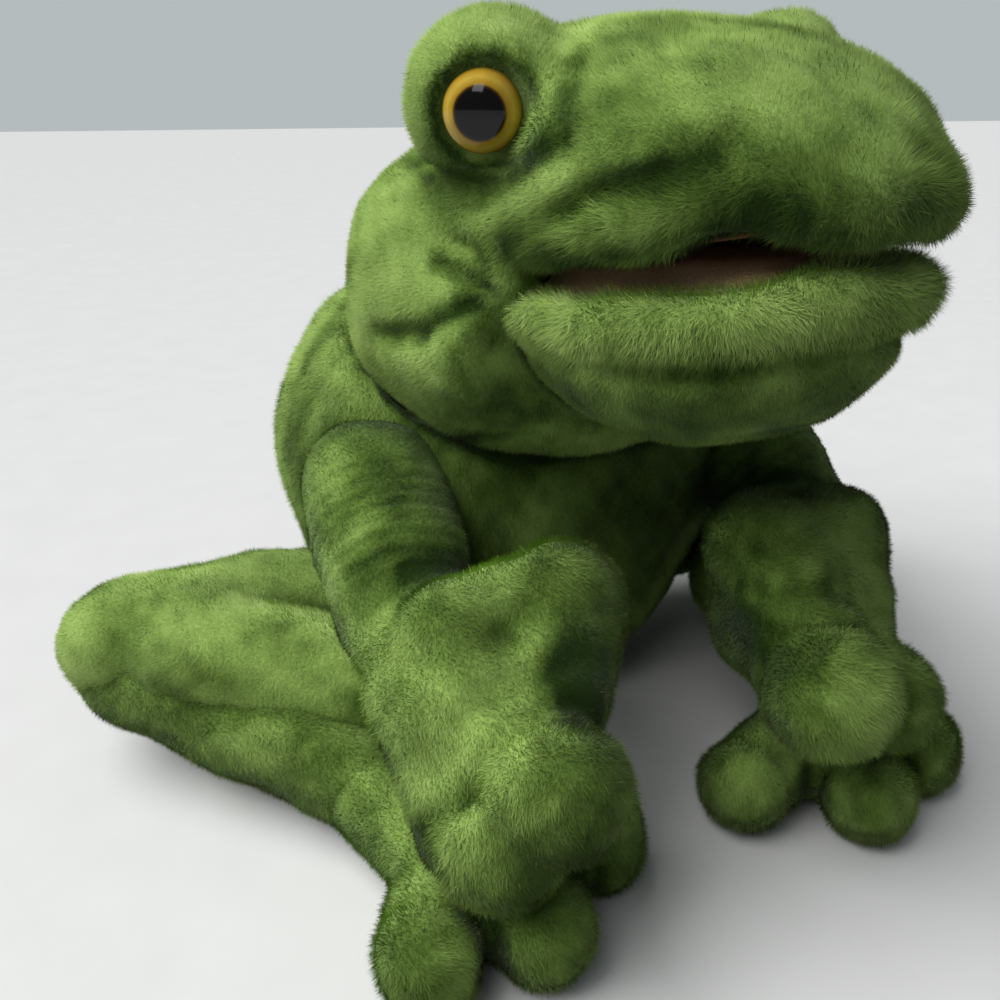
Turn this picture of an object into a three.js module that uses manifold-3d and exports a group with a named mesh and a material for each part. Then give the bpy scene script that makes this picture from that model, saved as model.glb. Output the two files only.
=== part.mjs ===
// Plush frog hand puppet, sitting with its legs folded and its mouth a little open.
// Millimetres, +Z up. The frog faces -Y and its left side is +X.
// The seat's rest face is centred on the origin and the floor is z = 0.

import * as THREE from 'three';
import { mergeVertices } from 'three/addons/utils/BufferGeometryUtils.js';
import Module from 'manifold-3d';

const wasm = await Module();
wasm.setup();

// Clearances
const GAP = 0.4; // between pieces that touch
const LAYER_GAP = 0.3; // between layers of the mouth
const COLLAR_GAP = 0.8; // above and below the neck collar
const SOCKET_GAP = 0.2; // between a ball and the socket that it turns in
const HEAD_CLEARANCE = 6; // between the head's ball and the shoulders around it
const FLOOR_DIP = 0.5; // how far resting forms are flattened at the floor

// Facets
const ROUND_SIDES = 16;
const ROUND_RINGS = 8;
const LIMB_SIDES = 9;
const CAP_STEPS = 4;
const BODY_STEPS = 2;
const TUBE_HALF_SIDES = 6;
const TUBE_STEPS = 5;
const SMALL_SIDES = 16;
const BUMP_SIDES = 12;
const BUMP_RINGS = 7;
const HIDDEN_SIDES = 8;
const HIDDEN_RINGS = 6;
const DRUM_SIDES = 20;
const DRUM_STEPS = 6;

// Fullness of the stuffed forms: 2 is an ellipsoid, more is fuller
const BODY_POWER = 2.2;
const HEAD_POWER = 2.3;
const DRUM_POWER = 2.6;

// Torso
const CHEST_HALF_WIDTH = 90;
const CHEST_HALF_DEPTH = 67;
const CHEST_HALF_HEIGHT = 74;
const CHEST_Y = -6;
const CHEST_Z = 102;
const RUMP_HALF_WIDTH = 80;
const RUMP_HALF_DEPTH = 66;
const RUMP_HALF_HEIGHT = 50;
const RUMP_Y = 4;
const SEAT_TOP = 15;
const SIDE_SEAM_Y = 8;

// Hand sleeve, from the entry in the lower back to the neck
const SLEEVE_RADIUS = 31;
const SLEEVE_WALL = 1.4;
const ENTRY_Y = 80;
const ENTRY_Z = 49;
const ENTRY_RUN = 56; // how far the sleeve runs level before it bends up
const NECK_RUN = 44; // how far it runs straight before the neck
const HEM_WIDTH = 7;
const HEM_THICKNESS = 2.6;

// Head
const SKULL_HALF_WIDTH = 77;
const SKULL_HALF_DEPTH = 60;
const SKULL_HALF_HEIGHT = 54;
const NECK_Y = -50; // the neck turns and nods about the skull's middle
const NECK_Z = 168;
const MUZZLE_HALF_WIDTH = 58;
const MUZZLE_HALF_DEPTH = 77;
const MUZZLE_HALF_HEIGHT = 39;
const MUZZLE_Y = -101;
const MUZZLE_Z = 206;

// Neck collar, a ring of a ball about the neck's middle
const COLLAR_TILT = 31; // degrees from straight down, backwards
const COLLAR_INNER = 57.5;
const COLLAR_THICKNESS = 3;
const COLLAR_SPREAD = 36; // degrees from the collar's axis to its rim
const COLLAR_ROOM = 16; // degrees that the collar may swing past its rim
const COLLAR_BORE = 28;
const COLLAR_FACET = 13; // degrees, at most

// Eyes
const BUMP_RADIUS = 22.5;
const BUMP_X = 47;
const BUMP_Y = -80;
const BUMP_Z = 224;
const EYE_RADIUS = 10;
const EYE_DOME = 7; // height of the dome above its rim
const EYE_OUTWARD = 36; // degrees from straight ahead
const EYE_UP = -2;
const EYE_SINK = 1.6; // how far the rim sits below the bump's round
const STEM_RADIUS = 2.4;
const STEM_LENGTH = 15;
const WASHER_RADIUS = 7.5;
const WASHER_THICKNESS = 2;
const WASHER_DEPTH = 10; // from the eye's rim to the washer
const STUFFING_HOLE_RADIUS = 7; // under a bump, hidden by the head

// Mouth
const CORNER_Y = -102;
const UPPER_LIP_Z = 184;
const MOUTH_CORNER_GAP = 3;
const UPPER_SLOPE = 14;
const LOWER_SLOPE = 9.5;
const PALATE_HALF_WIDTH = 44;
const PALATE_LENGTH = 68;
const PALATE_HOLLOW = 3.8; // how far the upper lining lies above the lip
const BOARD_THICKNESS = 2.2;
const LINING_THICKNESS = 1.4;
const POCKET_WALL = 1.2;

// Jaw
const JAW_HALF_WIDTH = 57;
const JAW_HALF_DEPTH = 74;
const JAW_HALF_HEIGHT = 50;
const JAW_Y = -105;
const JAW_Z = 183;
const HINGE_Y = -96;
const HINGE_Z = 158;
const DRUM_RADIUS = 38;
const DRUM_HALF_LENGTH = 54;
const DRUM_TOP = 148;
const JAW_SWING_ROOM = 3; // behind the jaw's front, for closing the mouth

// Finger and thumb pockets and the hollow between them
const HOLLOW_HALF_WIDTH = 30;
const HOLLOW_HALF_DEPTH = 42;
const HOLLOW_HALF_HEIGHT = 38;
const HOLLOW_Y = -63;
const HOLLOW_Z = 180;
const FINGER_HALF_WIDTH = 38;
const FINGER_HALF_DEPTH = 52;
const FINGER_HALF_HEIGHT = 13.5;
const FINGER_Y = -102;
const FINGER_Z = 213;
const THUMB_HALF_WIDTH = 20;
const THUMB_HALF_DEPTH = 40;
const THUMB_HALF_HEIGHT = 13;
const THUMB_Y = -122;
const THUMB_Z = 157;

// Arms
const SHOULDER_X = 73;
const SHOULDER_Y = -40;
const SHOULDER_Z = 106;
const SHOULDER_RADIUS = 24;
const ELBOW_X = 78;
const ELBOW_Y = -80;
const ELBOW_Z = 80;
const ELBOW_RADIUS = 23;
const ARM_END_RADIUS = 18;
const ARM_SWELL = 3;
const PALM_X = 66;
const PALM_Y = -118;
const PALM_Z = 68;
const PALM_RADIUS = 28;
const INNER_FINGER_RADIUS = 19;
const INNER_FINGER_X = 38;
const INNER_FINGER_Y = -111;
const INNER_FINGER_Z = 88;
const MIDDLE_FINGER_RADIUS = 20;
const MIDDLE_FINGER_X = 59;
const MIDDLE_FINGER_Y = -152;
const MIDDLE_FINGER_Z = 61;
const OUTER_FINGER_RADIUS = 18;
const OUTER_FINGER_X = 79;
const OUTER_FINGER_Y = -157;
const OUTER_FINGER_Z = 51;
const WEB_RADIUS = 16; // fills the hand between its inner and middle fingers
const RIGHT_HAND_LEAN = 8; // how far this hand lies towards the frog's right
const LEFT_HAND_LEAN = 24;
const INNER_FINGER_LEAN = 3; // the same for both inner fingers

// Legs
const HIP_X = 72;
const HIP_Y = 2;
const HIP_Z = 44;
const HIP_RADIUS = 30;
const HIP_TURN = 25;
const KNEE_X = 148;
const KNEE_Y = 4;
const KNEE_Z = 44;
const KNEE_RADIUS = 25;
const THIGH_END_RADIUS = 21;
const THIGH_SWELL = 4;
const ANKLE_X = 90;
const ANKLE_Y = -80;
const ANKLE_Z = 20;
const ANKLE_RADIUS = 20;
const SHIN_END_RADIUS = 17;
const SHIN_SWELL = 3;
const SOLE_RADIUS = 19;
const SOLE_X = 76;
const SOLE_Y = -122;
const TOE_RADIUS = 16;
const TOE_ROOT_Y = -114;
const OUTER_TOE_X = 95;
const OUTER_TOE_Y = -146;
const MIDDLE_TOE_X = 65;
const MIDDLE_TOE_Y = -155;
const INNER_TOE_X = 34;
const INNER_TOE_Y = -132;
const FOOT_LEAN = 7; // both feet lie this far towards the frog's right

const at = (x, y, z) => new THREE.Vector3(x, y, z);
const radians = THREE.MathUtils.degToRad;
const Y_AXIS = at(0, 1, 0);
const Z_AXIS = at(0, 0, 1);
const NECK = at(0, NECK_Y, NECK_Z);
const HINGE = at(0, HINGE_Y, HINGE_Z);

// Fabrics and plastics
const cloth = (color) => new THREE.MeshStandardMaterial({ color, roughness: 0.95, metalness: 0 });
const PLUSH = 0x6d9445;
const PLUSH_LIGHT = 0x7fa653;
const PLUSH_DARK = 0x557a36;
const MOUTH_TAN = 0xb98a6c;
const MOUTH_BROWN = 0x7d4232;
const LINING = 0x4e6b3a;
const CARD = 0x9a8d78;
const AMBER = 0xb98314;
const DARK_PLASTIC = 0x1d1b19;

// A closed outward solid for joining and cutting.
function solid(geometry) {
  const bare = geometry.clone();
  bare.deleteAttribute('normal');
  bare.deleteAttribute('uv');
  const merged = mergeVertices(bare);
  const place = merged.attributes.position;
  const corners = [at(0, 0, 0), at(0, 0, 0), at(0, 0, 0)];
  const kept = [];
  let volume = 0;
  for (let i = 0; i < merged.index.count; i += 3) {
    const triangle = [0, 1, 2].map((k) => merged.index.getX(i + k));
    if (new Set(triangle).size === 3) {
      kept.push(...triangle);
      triangle.forEach((vertex, k) => corners[k].fromBufferAttribute(place, vertex));
      volume += corners[0].dot(corners[1].cross(corners[2]));
    }
  }
  if (volume < 0) {
    kept.reverse();
  }
  return new wasm.Manifold(new wasm.Mesh({
    numProp: 3,
    vertProperties: Float32Array.from(place.array),
    triVerts: Uint32Array.from(kept),
  }));
}

const join = (...geometries) => geometries.map(solid).reduce((sum, next) => sum.add(next));
const cut = (body, ...tools) => tools.reduce((left, tool) => left.subtract(tool), body);

// A stuffed round form: an ellipsoid filled out by a power.
function ball(center, rx, ry, rz, power = 2, sides = ROUND_SIDES, rings = ROUND_RINGS) {
  const geometry = new THREE.SphereGeometry(1, sides, rings);
  const place = geometry.attributes.position;
  const point = at(0, 0, 0);
  for (let i = 0; i < place.count; i += 1) {
    point.fromBufferAttribute(place, i);
    const sum = Math.abs(point.x) ** power + Math.abs(point.y) ** power + Math.abs(point.z) ** power;
    point.multiplyScalar(sum ** (-1 / power));
    place.setXYZ(i, point.x * rx, point.y * ry, point.z * rz);
  }
  return geometry.translate(center.x, center.y, center.z);
}

// A stuffed limb: round ends, a taper from one to the other and a swell between them.
// A limb that cuts a socket has its corners over the flats of the limb that turns in it.
function limb(from, to, startRadius, endRadius, swell = 0, isSocket = false) {
  const phase = isSocket ? Math.PI / LIMB_SIDES : 0;
  const along = to.clone().sub(from);
  const length = along.length();
  const profile = [];
  for (let i = 0; i <= CAP_STEPS; i += 1) {
    const angle = (i / CAP_STEPS) * (Math.PI / 2);
    profile.push(new THREE.Vector2(startRadius * Math.sin(angle), -startRadius * Math.cos(angle)));
  }
  for (let i = 1; i < BODY_STEPS; i += 1) {
    const t = i / BODY_STEPS;
    const taper = startRadius + (endRadius - startRadius) * t;
    profile.push(new THREE.Vector2(taper + swell * Math.sin(Math.PI * t), length * t));
  }
  for (let i = CAP_STEPS; i >= 0; i -= 1) {
    const angle = (i / CAP_STEPS) * (Math.PI / 2);
    profile.push(new THREE.Vector2(endRadius * Math.sin(angle), length + endRadius * Math.cos(angle)));
  }
  const turn = new THREE.Quaternion().setFromUnitVectors(Y_AXIS, along.normalize());
  return new THREE.LatheGeometry(profile, LIMB_SIDES, phase).applyQuaternion(turn)
    .translate(from.x, from.y, from.z);
}

// A plain round hollow between two points, hidden inside the stuffing.
function hollow(from, to, radius) {
  const along = to.clone().sub(from);
  const length = along.length();
  const turn = new THREE.Quaternion().setFromUnitVectors(Y_AXIS, along.normalize());
  return new THREE.CylinderGeometry(radius, radius, length, HIDDEN_SIDES).translate(0, length / 2, 0)
    .applyQuaternion(turn).translate(from.x, from.y, from.z);
}

// How much larger a faceted socket is than the round that turns in it.
const FLATNESS = Math.cos(Math.PI / LIMB_SIDES) * Math.cos(Math.PI / (4 * CAP_STEPS));
const socketRadius = (radius) => (radius + SOCKET_GAP) / FLATNESS;

// A box given by its low and high corners.
function block(low, high) {
  const size = high.clone().sub(low);
  const middle = low.clone().add(high).multiplyScalar(0.5);
  return new THREE.BoxGeometry(size.x, size.y, size.z).translate(middle.x, middle.y, middle.z);
}

// A copy of a form turned about an axis through a pivot.
function turned(geometry, pivot, axis, degrees) {
  const turn = new THREE.Quaternion().setFromAxisAngle(axis, radians(degrees));
  return geometry.clone().translate(-pivot.x, -pivot.y, -pivot.z).applyQuaternion(turn)
    .translate(pivot.x, pivot.y, pivot.z);
}

// The room that a form takes as it turns from rest through the given angles.
const swept = (geometry, pivot, axis, ...angles) => join(
  ...[0, ...angles].map((degrees) => turned(geometry, pivot, axis, degrees)),
);

const BIG = 500;
const SIDES = [['right', -1], ['left', 1]];
const FLOOR = solid(block(at(-BIG, -BIG, -BIG), at(BIG, BIG, 0)));

// Forms, each of which can be grown by a clearance to cut its neighbours

const skullForm = (grow = 0) => ball(
  NECK,
  SKULL_HALF_WIDTH + grow,
  SKULL_HALF_DEPTH + grow,
  SKULL_HALF_HEIGHT + grow,
  HEAD_POWER,
);
const muzzleForm = (grow = 0) => ball(
  at(0, MUZZLE_Y, MUZZLE_Z),
  MUZZLE_HALF_WIDTH + grow,
  MUZZLE_HALF_DEPTH + grow,
  MUZZLE_HALF_HEIGHT + grow,
);
const jawForm = (grow = 0) => ball(
  at(0, JAW_Y, JAW_Z),
  JAW_HALF_WIDTH + grow,
  JAW_HALF_DEPTH + grow,
  JAW_HALF_HEIGHT + grow,
);

// The drum is a barrel about the jaw's hinge, so it can turn in its own room
function drumForm(radius = DRUM_RADIUS, halfLength = DRUM_HALF_LENGTH) {
  const profile = [];
  for (let i = 0; i <= DRUM_STEPS; i += 1) {
    const x = -Math.cos((i / DRUM_STEPS) * Math.PI);
    const round = Math.max(0, 1 - Math.abs(x) ** DRUM_POWER) ** (1 / DRUM_POWER);
    profile.push(new THREE.Vector2(radius * round, halfLength * x));
  }
  return new THREE.LatheGeometry(profile, DRUM_SIDES).rotateZ(Math.PI / 2).translate(0, HINGE_Y, HINGE_Z);
}
const drumRoom = () => drumForm((DRUM_RADIUS + GAP) / Math.cos(Math.PI / DRUM_SIDES), DRUM_HALF_LENGTH + GAP);

const torsoForm = (grow = 0) => join(
  ball(
    at(0, CHEST_Y, CHEST_Z),
    CHEST_HALF_WIDTH + grow,
    CHEST_HALF_DEPTH + grow,
    CHEST_HALF_HEIGHT + grow,
    BODY_POWER,
  ),
  ball(
    at(0, RUMP_Y, resting(RUMP_HALF_HEIGHT)),
    RUMP_HALF_WIDTH + grow,
    RUMP_HALF_DEPTH + grow,
    RUMP_HALF_HEIGHT + grow,
    BODY_POWER,
  ),
);

const shoulder = (side) => at(side * SHOULDER_X, SHOULDER_Y, SHOULDER_Z);
const elbow = (side) => at(side * ELBOW_X, ELBOW_Y, ELBOW_Z);
const handLean = (side) => (side > 0 ? LEFT_HAND_LEAN : RIGHT_HAND_LEAN);
const palm = (side) => at(side * PALM_X - handLean(side), PALM_Y, PALM_Z);
const innerTip = (side) => at(side * INNER_FINGER_X - INNER_FINGER_LEAN, INNER_FINGER_Y, INNER_FINGER_Z);
const middleTip = (side) => at(side * MIDDLE_FINGER_X - handLean(side), MIDDLE_FINGER_Y, MIDDLE_FINGER_Z);
const outerTip = (side) => at(side * OUTER_FINGER_X - handLean(side), OUTER_FINGER_Y, OUTER_FINGER_Z);
const hip = (side) => at(side * HIP_X, HIP_Y, HIP_Z);
const knee = (side) => at(side * KNEE_X, KNEE_Y, KNEE_Z);
const ankle = (side) => at(side * ANKLE_X, ANKLE_Y, ANKLE_Z);
const resting = (radius) => radius - FLOOR_DIP;

const upperArmForm = (side) => limb(
  shoulder(side),
  elbow(side),
  SHOULDER_RADIUS,
  ARM_END_RADIUS,
  ARM_SWELL,
);
const shoulderRoom = (side) => limb(
  shoulder(side),
  elbow(side),
  socketRadius(SHOULDER_RADIUS),
  socketRadius(ARM_END_RADIUS),
  ARM_SWELL,
  true,
);
const forearmForm = (side) => limb(elbow(side), palm(side), ELBOW_RADIUS, PALM_RADIUS);
const elbowRoom = (side) => limb(
  elbow(side),
  palm(side),
  socketRadius(ELBOW_RADIUS),
  socketRadius(PALM_RADIUS),
  0,
  true,
);
const fingerForm = (side, tip, radius) => limb(palm(side), tip, radius, radius);
const webForm = (side) => limb(innerTip(side), middleTip(side), WEB_RADIUS, WEB_RADIUS);
const thighForm = (side) => limb(hip(side), knee(side), HIP_RADIUS, THIGH_END_RADIUS, THIGH_SWELL);
const hipRoom = (side) => limb(
  hip(side),
  knee(side),
  socketRadius(HIP_RADIUS),
  socketRadius(THIGH_END_RADIUS),
  THIGH_SWELL,
  true,
);
const shinForm = (side) => limb(knee(side), ankle(side), KNEE_RADIUS, SHIN_END_RADIUS, SHIN_SWELL);
const kneeRoom = (side) => limb(
  knee(side),
  ankle(side),
  socketRadius(KNEE_RADIUS),
  socketRadius(SHIN_END_RADIUS),
  SHIN_SWELL,
  true,
);
const soleEnd = (side) => at(side * SOLE_X - FOOT_LEAN, SOLE_Y, resting(SOLE_RADIUS));
const soleForm = (side) => limb(ankle(side), soleEnd(side), ANKLE_RADIUS, SOLE_RADIUS);
const ankleRoom = (side) => limb(
  ankle(side),
  soleEnd(side),
  socketRadius(ANKLE_RADIUS),
  socketRadius(SOLE_RADIUS),
  0,
  true,
);
const toeForm = (side, x, y) => limb(
  at(side * SOLE_X - FOOT_LEAN, TOE_ROOT_Y, resting(TOE_RADIUS)),
  at(side * x - FOOT_LEAN, y, resting(TOE_RADIUS)),
  TOE_RADIUS,
  TOE_RADIUS,
);

// Meshes are placed in groups that stand at the joints

const frog = new THREE.Group();

function groupAt(parent, point) {
  const group = new THREE.Group();
  const base = at(0, 0, 0);
  for (let node = parent; node; node = node.parent) {
    base.add(node.position);
  }
  group.position.copy(point).sub(base);
  group.userData.pivot = point.clone();
  parent.add(group);
  return group;
}

function addMesh(group, name, body, material) {
  const data = body.getMesh();
  const geometry = new THREE.BufferGeometry();
  geometry.setAttribute('position', new THREE.BufferAttribute(Float32Array.from(data.vertProperties), 3));
  geometry.setIndex(new THREE.BufferAttribute(Uint32Array.from(data.triVerts), 1));
  const pivot = group.userData.pivot;
  geometry.translate(-pivot.x, -pivot.y, -pivot.z);
  geometry.computeVertexNormals();
  const mesh = new THREE.Mesh(geometry, material);
  mesh.name = name;
  group.add(mesh);
}

// Sleeve: the way in for the hand

const collarAxis = at(0, Math.sin(radians(COLLAR_TILT)), -Math.cos(radians(COLLAR_TILT)));
const sleeveTop = NECK.clone().addScaledVector(collarAxis, COLLAR_INNER + COLLAR_THICKNESS + HEAD_CLEARANCE);
const sleeveMouth = at(0, ENTRY_Y, ENTRY_Z);
const sleevePath = new THREE.CubicBezierCurve3(
  sleeveMouth,
  at(0, ENTRY_Y - ENTRY_RUN, ENTRY_Z),
  sleeveTop.clone().addScaledVector(collarAxis, NECK_RUN),
  sleeveTop,
);

function tubeAlong(path, radius, bore = 0) {
  const section = new THREE.Shape();
  section.absarc(0, 0, radius, 0, 2 * Math.PI);
  if (bore > 0) {
    const hole = new THREE.Path();
    hole.absarc(0, 0, bore, 0, 2 * Math.PI);
    section.holes.push(hole);
  }
  return new THREE.ExtrudeGeometry(section, {
    steps: TUBE_STEPS,
    curveSegments: TUBE_HALF_SIDES,
    bevelEnabled: false,
    extrudePath: path,
  });
}

const passageRadius = SLEEVE_RADIUS + GAP;
const boreStart = sleeveTop.clone().addScaledVector(collarAxis, NECK_RUN / 4);
const neckBore = solid(hollow(boreStart, NECK, COLLAR_BORE));
const passage = solid(tubeAlong(sleevePath, passageRadius)).add(neckBore);

// A cap of a ball shell about the neck, used for the collar and for the room it swings in
function shellCap(inner, outer, spread) {
  const steps = Math.ceil(spread / COLLAR_FACET);
  const profile = [];
  for (let i = 0; i <= steps; i += 1) {
    const angle = radians(spread) * (i / steps);
    profile.push(new THREE.Vector2(inner * Math.sin(angle), inner * Math.cos(angle)));
  }
  for (let i = steps; i >= 0; i -= 1) {
    const angle = radians(spread) * (i / steps);
    profile.push(new THREE.Vector2(outer * Math.sin(angle), outer * Math.cos(angle)));
  }
  const turn = new THREE.Quaternion().setFromUnitVectors(Y_AXIS, collarAxis);
  return new THREE.LatheGeometry(profile, 2 * HIDDEN_SIDES).applyQuaternion(turn)
    .translate(0, NECK_Y, NECK_Z);
}

const collarOuter = COLLAR_INNER + COLLAR_THICKNESS;
const collarRoom = COLLAR_SPREAD + COLLAR_ROOM;
const collarRoomInTorso = solid(shellCap(COLLAR_INNER - COLLAR_GAP, collarOuter + COLLAR_GAP, collarRoom));
const collarRoomInHead = solid(shellCap(COLLAR_INNER - COLLAR_GAP, 2 * COLLAR_INNER, collarRoom));

// Torso: a seat cushion, a belly panel and a back panel around the sleeve

function buildTorso() {
  const torso = groupAt(frog, at(0, 0, 0));
  const limbs = [-1, 1].flatMap((side) => [
    solid(shoulderRoom(side)),
    swept(hipRoom(side), hip(side), Z_AXIS, side * HIP_TURN),
  ]);
  const headRoom = solid(skullForm(HEAD_CLEARANCE));
  const stuffed = cut(torsoForm(), FLOOR, headRoom, collarRoomInTorso, passage, ...limbs);
  const below = solid(block(at(-BIG, -BIG, -BIG), at(BIG, BIG, SEAT_TOP + GAP)));
  const above = solid(block(at(-BIG, -BIG, SEAT_TOP), at(BIG, BIG, BIG)));
  const behind = solid(block(at(-BIG, SIDE_SEAM_Y, -BIG), at(BIG, BIG, BIG)));
  const ahead = solid(block(at(-BIG, -BIG, -BIG), at(BIG, SIDE_SEAM_Y + GAP, BIG)));
  addMesh(torso, 'seat_cushion', cut(stuffed, above), cloth(PLUSH_DARK));
  addMesh(torso, 'belly_panel', cut(stuffed, below, behind), cloth(PLUSH_LIGHT));
  addMesh(torso, 'back_panel', cut(stuffed, below, ahead), cloth(PLUSH));

  const sleeve = solid(tubeAlong(sleevePath, SLEEVE_RADIUS, SLEEVE_RADIUS - SLEEVE_WALL));
  const outside = torsoForm(2 * BIG).subtract(torsoForm(HEM_THICKNESS));
  addMesh(torso, 'hand_sleeve', cut(sleeve, headRoom, collarRoomInTorso, outside), cloth(LINING));
  const hemRadius = passageRadius + HEM_WIDTH;
  const hemDisc = new THREE.CylinderGeometry(hemRadius, hemRadius, ENTRY_Y, SMALL_SIDES)
    .translate(0, ENTRY_Y, ENTRY_Z);
  const hem = cut(torsoForm(HEM_THICKNESS), torsoForm(GAP), passage).intersect(solid(hemDisc));
  addMesh(torso, 'entry_hem', hem, cloth(PLUSH_DARK));
  return torso;
}

// Head: a stuffed shell with a pocket for the fingers, eyes on bumps and the roof of the mouth

// A rounded mouth layer between two heights over a plane that rises forwards from the mouth's corners
function mouthLayer(low, high, cornerZ, slope, grow = 0) {
  const outline = new THREE.Shape();
  outline.absellipse(0, 0, PALATE_HALF_WIDTH + grow, PALATE_LENGTH + 2 * grow, Math.PI, 2 * Math.PI);
  outline.closePath();
  const options = { depth: high - low, curveSegments: SMALL_SIDES, bevelEnabled: false };
  const layer = new THREE.ExtrudeGeometry(outline, options).translate(0, grow, low);
  return layer.rotateX(-radians(slope)).translate(0, CORNER_Y, cornerZ);
}

// All the room below a mouth plane and in front of the mouth's corners
const underMouth = (cornerZ, slope) => block(at(-BIG, -BIG, -BIG), at(BIG, 0, 0))
  .rotateX(-radians(slope)).translate(0, CORNER_Y, cornerZ);
const overMouth = (cornerZ, slope) => block(at(-BIG, -BIG, 0), at(BIG, BIG, BIG))
  .rotateX(-radians(slope)).translate(0, CORNER_Y, cornerZ);

const lowerLipZ = UPPER_LIP_Z - MOUTH_CORNER_GAP;
const fingerPocketForm = (grow = 0) => ball(
  at(0, FINGER_Y, FINGER_Z),
  FINGER_HALF_WIDTH + grow,
  FINGER_HALF_DEPTH + grow,
  FINGER_HALF_HEIGHT + grow,
  2,
  2 * HIDDEN_SIDES,
  HIDDEN_RINGS,
);
const thumbPocketForm = (grow = 0) => ball(
  at(0, THUMB_Y, THUMB_Z),
  THUMB_HALF_WIDTH + grow,
  THUMB_HALF_DEPTH + grow,
  THUMB_HALF_HEIGHT + grow,
  2,
  2 * HIDDEN_SIDES,
  HIDDEN_RINGS,
);
const handHollow = solid(ball(
  at(0, HOLLOW_Y, HOLLOW_Z),
  HOLLOW_HALF_WIDTH,
  HOLLOW_HALF_DEPTH,
  HOLLOW_HALF_HEIGHT,
  HEAD_POWER,
  HIDDEN_SIDES,
  HIDDEN_RINGS,
));

function eyeFrame(side) {
  const outward = radians(EYE_OUTWARD);
  const facing = at(side * Math.sin(outward), -Math.cos(outward), Math.tan(radians(EYE_UP))).normalize();
  const middle = at(side * BUMP_X, BUMP_Y, BUMP_Z);
  const rimDepth = Math.sqrt(BUMP_RADIUS ** 2 - EYE_RADIUS ** 2) - EYE_SINK;
  return { middle, turn: new THREE.Quaternion().setFromUnitVectors(Y_AXIS, facing), rimDepth };
}

// A lathed piece on an eye's axis; its profile is measured outwards from the eye's rim
function onEye(side, profile, sides = HIDDEN_SIDES) {
  const { middle, turn, rimDepth } = eyeFrame(side);
  return new THREE.LatheGeometry(profile, sides).translate(0, rimDepth, 0).applyQuaternion(turn)
    .translate(middle.x, middle.y, middle.z);
}

function rod(radius, low, high) {
  return [
    new THREE.Vector2(0, low),
    new THREE.Vector2(radius, low),
    new THREE.Vector2(radius, high),
    new THREE.Vector2(0, high),
  ];
}

function eyeProfile() {
  const domeSteps = 8;
  const profile = [
    new THREE.Vector2(0, -STEM_LENGTH),
    new THREE.Vector2(STEM_RADIUS, -STEM_LENGTH),
    new THREE.Vector2(STEM_RADIUS, 0),
    new THREE.Vector2(EYE_RADIUS, 0),
  ];
  for (let i = 1; i <= domeSteps; i += 1) {
    const angle = (i / domeSteps) * (Math.PI / 2);
    profile.push(new THREE.Vector2(EYE_RADIUS * Math.cos(angle), EYE_DOME * Math.sin(angle)));
  }
  profile[profile.length - 1].x = 0;
  return profile;
}

// The room that an eye, its stem and its washer take in the bump and in the head under it
const washerTop = -WASHER_DEPTH - GAP;
const washerLow = washerTop - WASHER_THICKNESS;
const stemHole = (side) => onEye(side, rod(STEM_RADIUS + GAP, -STEM_LENGTH - GAP, 0));
const eyeRoom = (side) => join(
  onEye(side, rod(EYE_RADIUS + GAP, -GAP, EYE_DOME + GAP), SMALL_SIDES),
  stemHole(side),
  onEye(side, rod(WASHER_RADIUS + GAP, washerLow - GAP, -WASHER_DEPTH)),
);

function buildEye(group, side, label) {
  const middle = at(side * BUMP_X, BUMP_Y, BUMP_Z);
  const bump = solid(ball(middle, BUMP_RADIUS, BUMP_RADIUS, BUMP_RADIUS, 2, BUMP_SIDES, BUMP_RINGS));
  const under = at(side * BUMP_X, BUMP_Y, BUMP_Z - 2 * BUMP_RADIUS);
  const stuffingHole = solid(hollow(middle, under, STUFFING_HOLE_RADIUS));
  const skull = join(skullForm(GAP), muzzleForm(GAP));
  addMesh(group, `eye_bump_${label}`, cut(bump, skull, eyeRoom(side), stuffingHole), cloth(PLUSH));
  const shiny = new THREE.MeshStandardMaterial({ color: AMBER, roughness: 0.12, metalness: 0 });
  addMesh(group, `eye_${label}`, solid(onEye(side, eyeProfile(), SMALL_SIDES)), shiny);
  const disc = solid(onEye(side, rod(WASHER_RADIUS, washerLow, washerTop)));
  const plastic = new THREE.MeshStandardMaterial({ color: DARK_PLASTIC, roughness: 0.5, metalness: 0 });
  addMesh(group, `eye_washer_${label}`, cut(disc, solid(stemHole(side))), plastic);
}

// A pouch of lining in a hollow, open at the back
function pouch(form, openFromY) {
  const opening = solid(block(at(-BIG, openFromY, -BIG), at(BIG, BIG, BIG)));
  return cut(solid(form(0)), solid(form(-POCKET_WALL)), opening);
}

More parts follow.
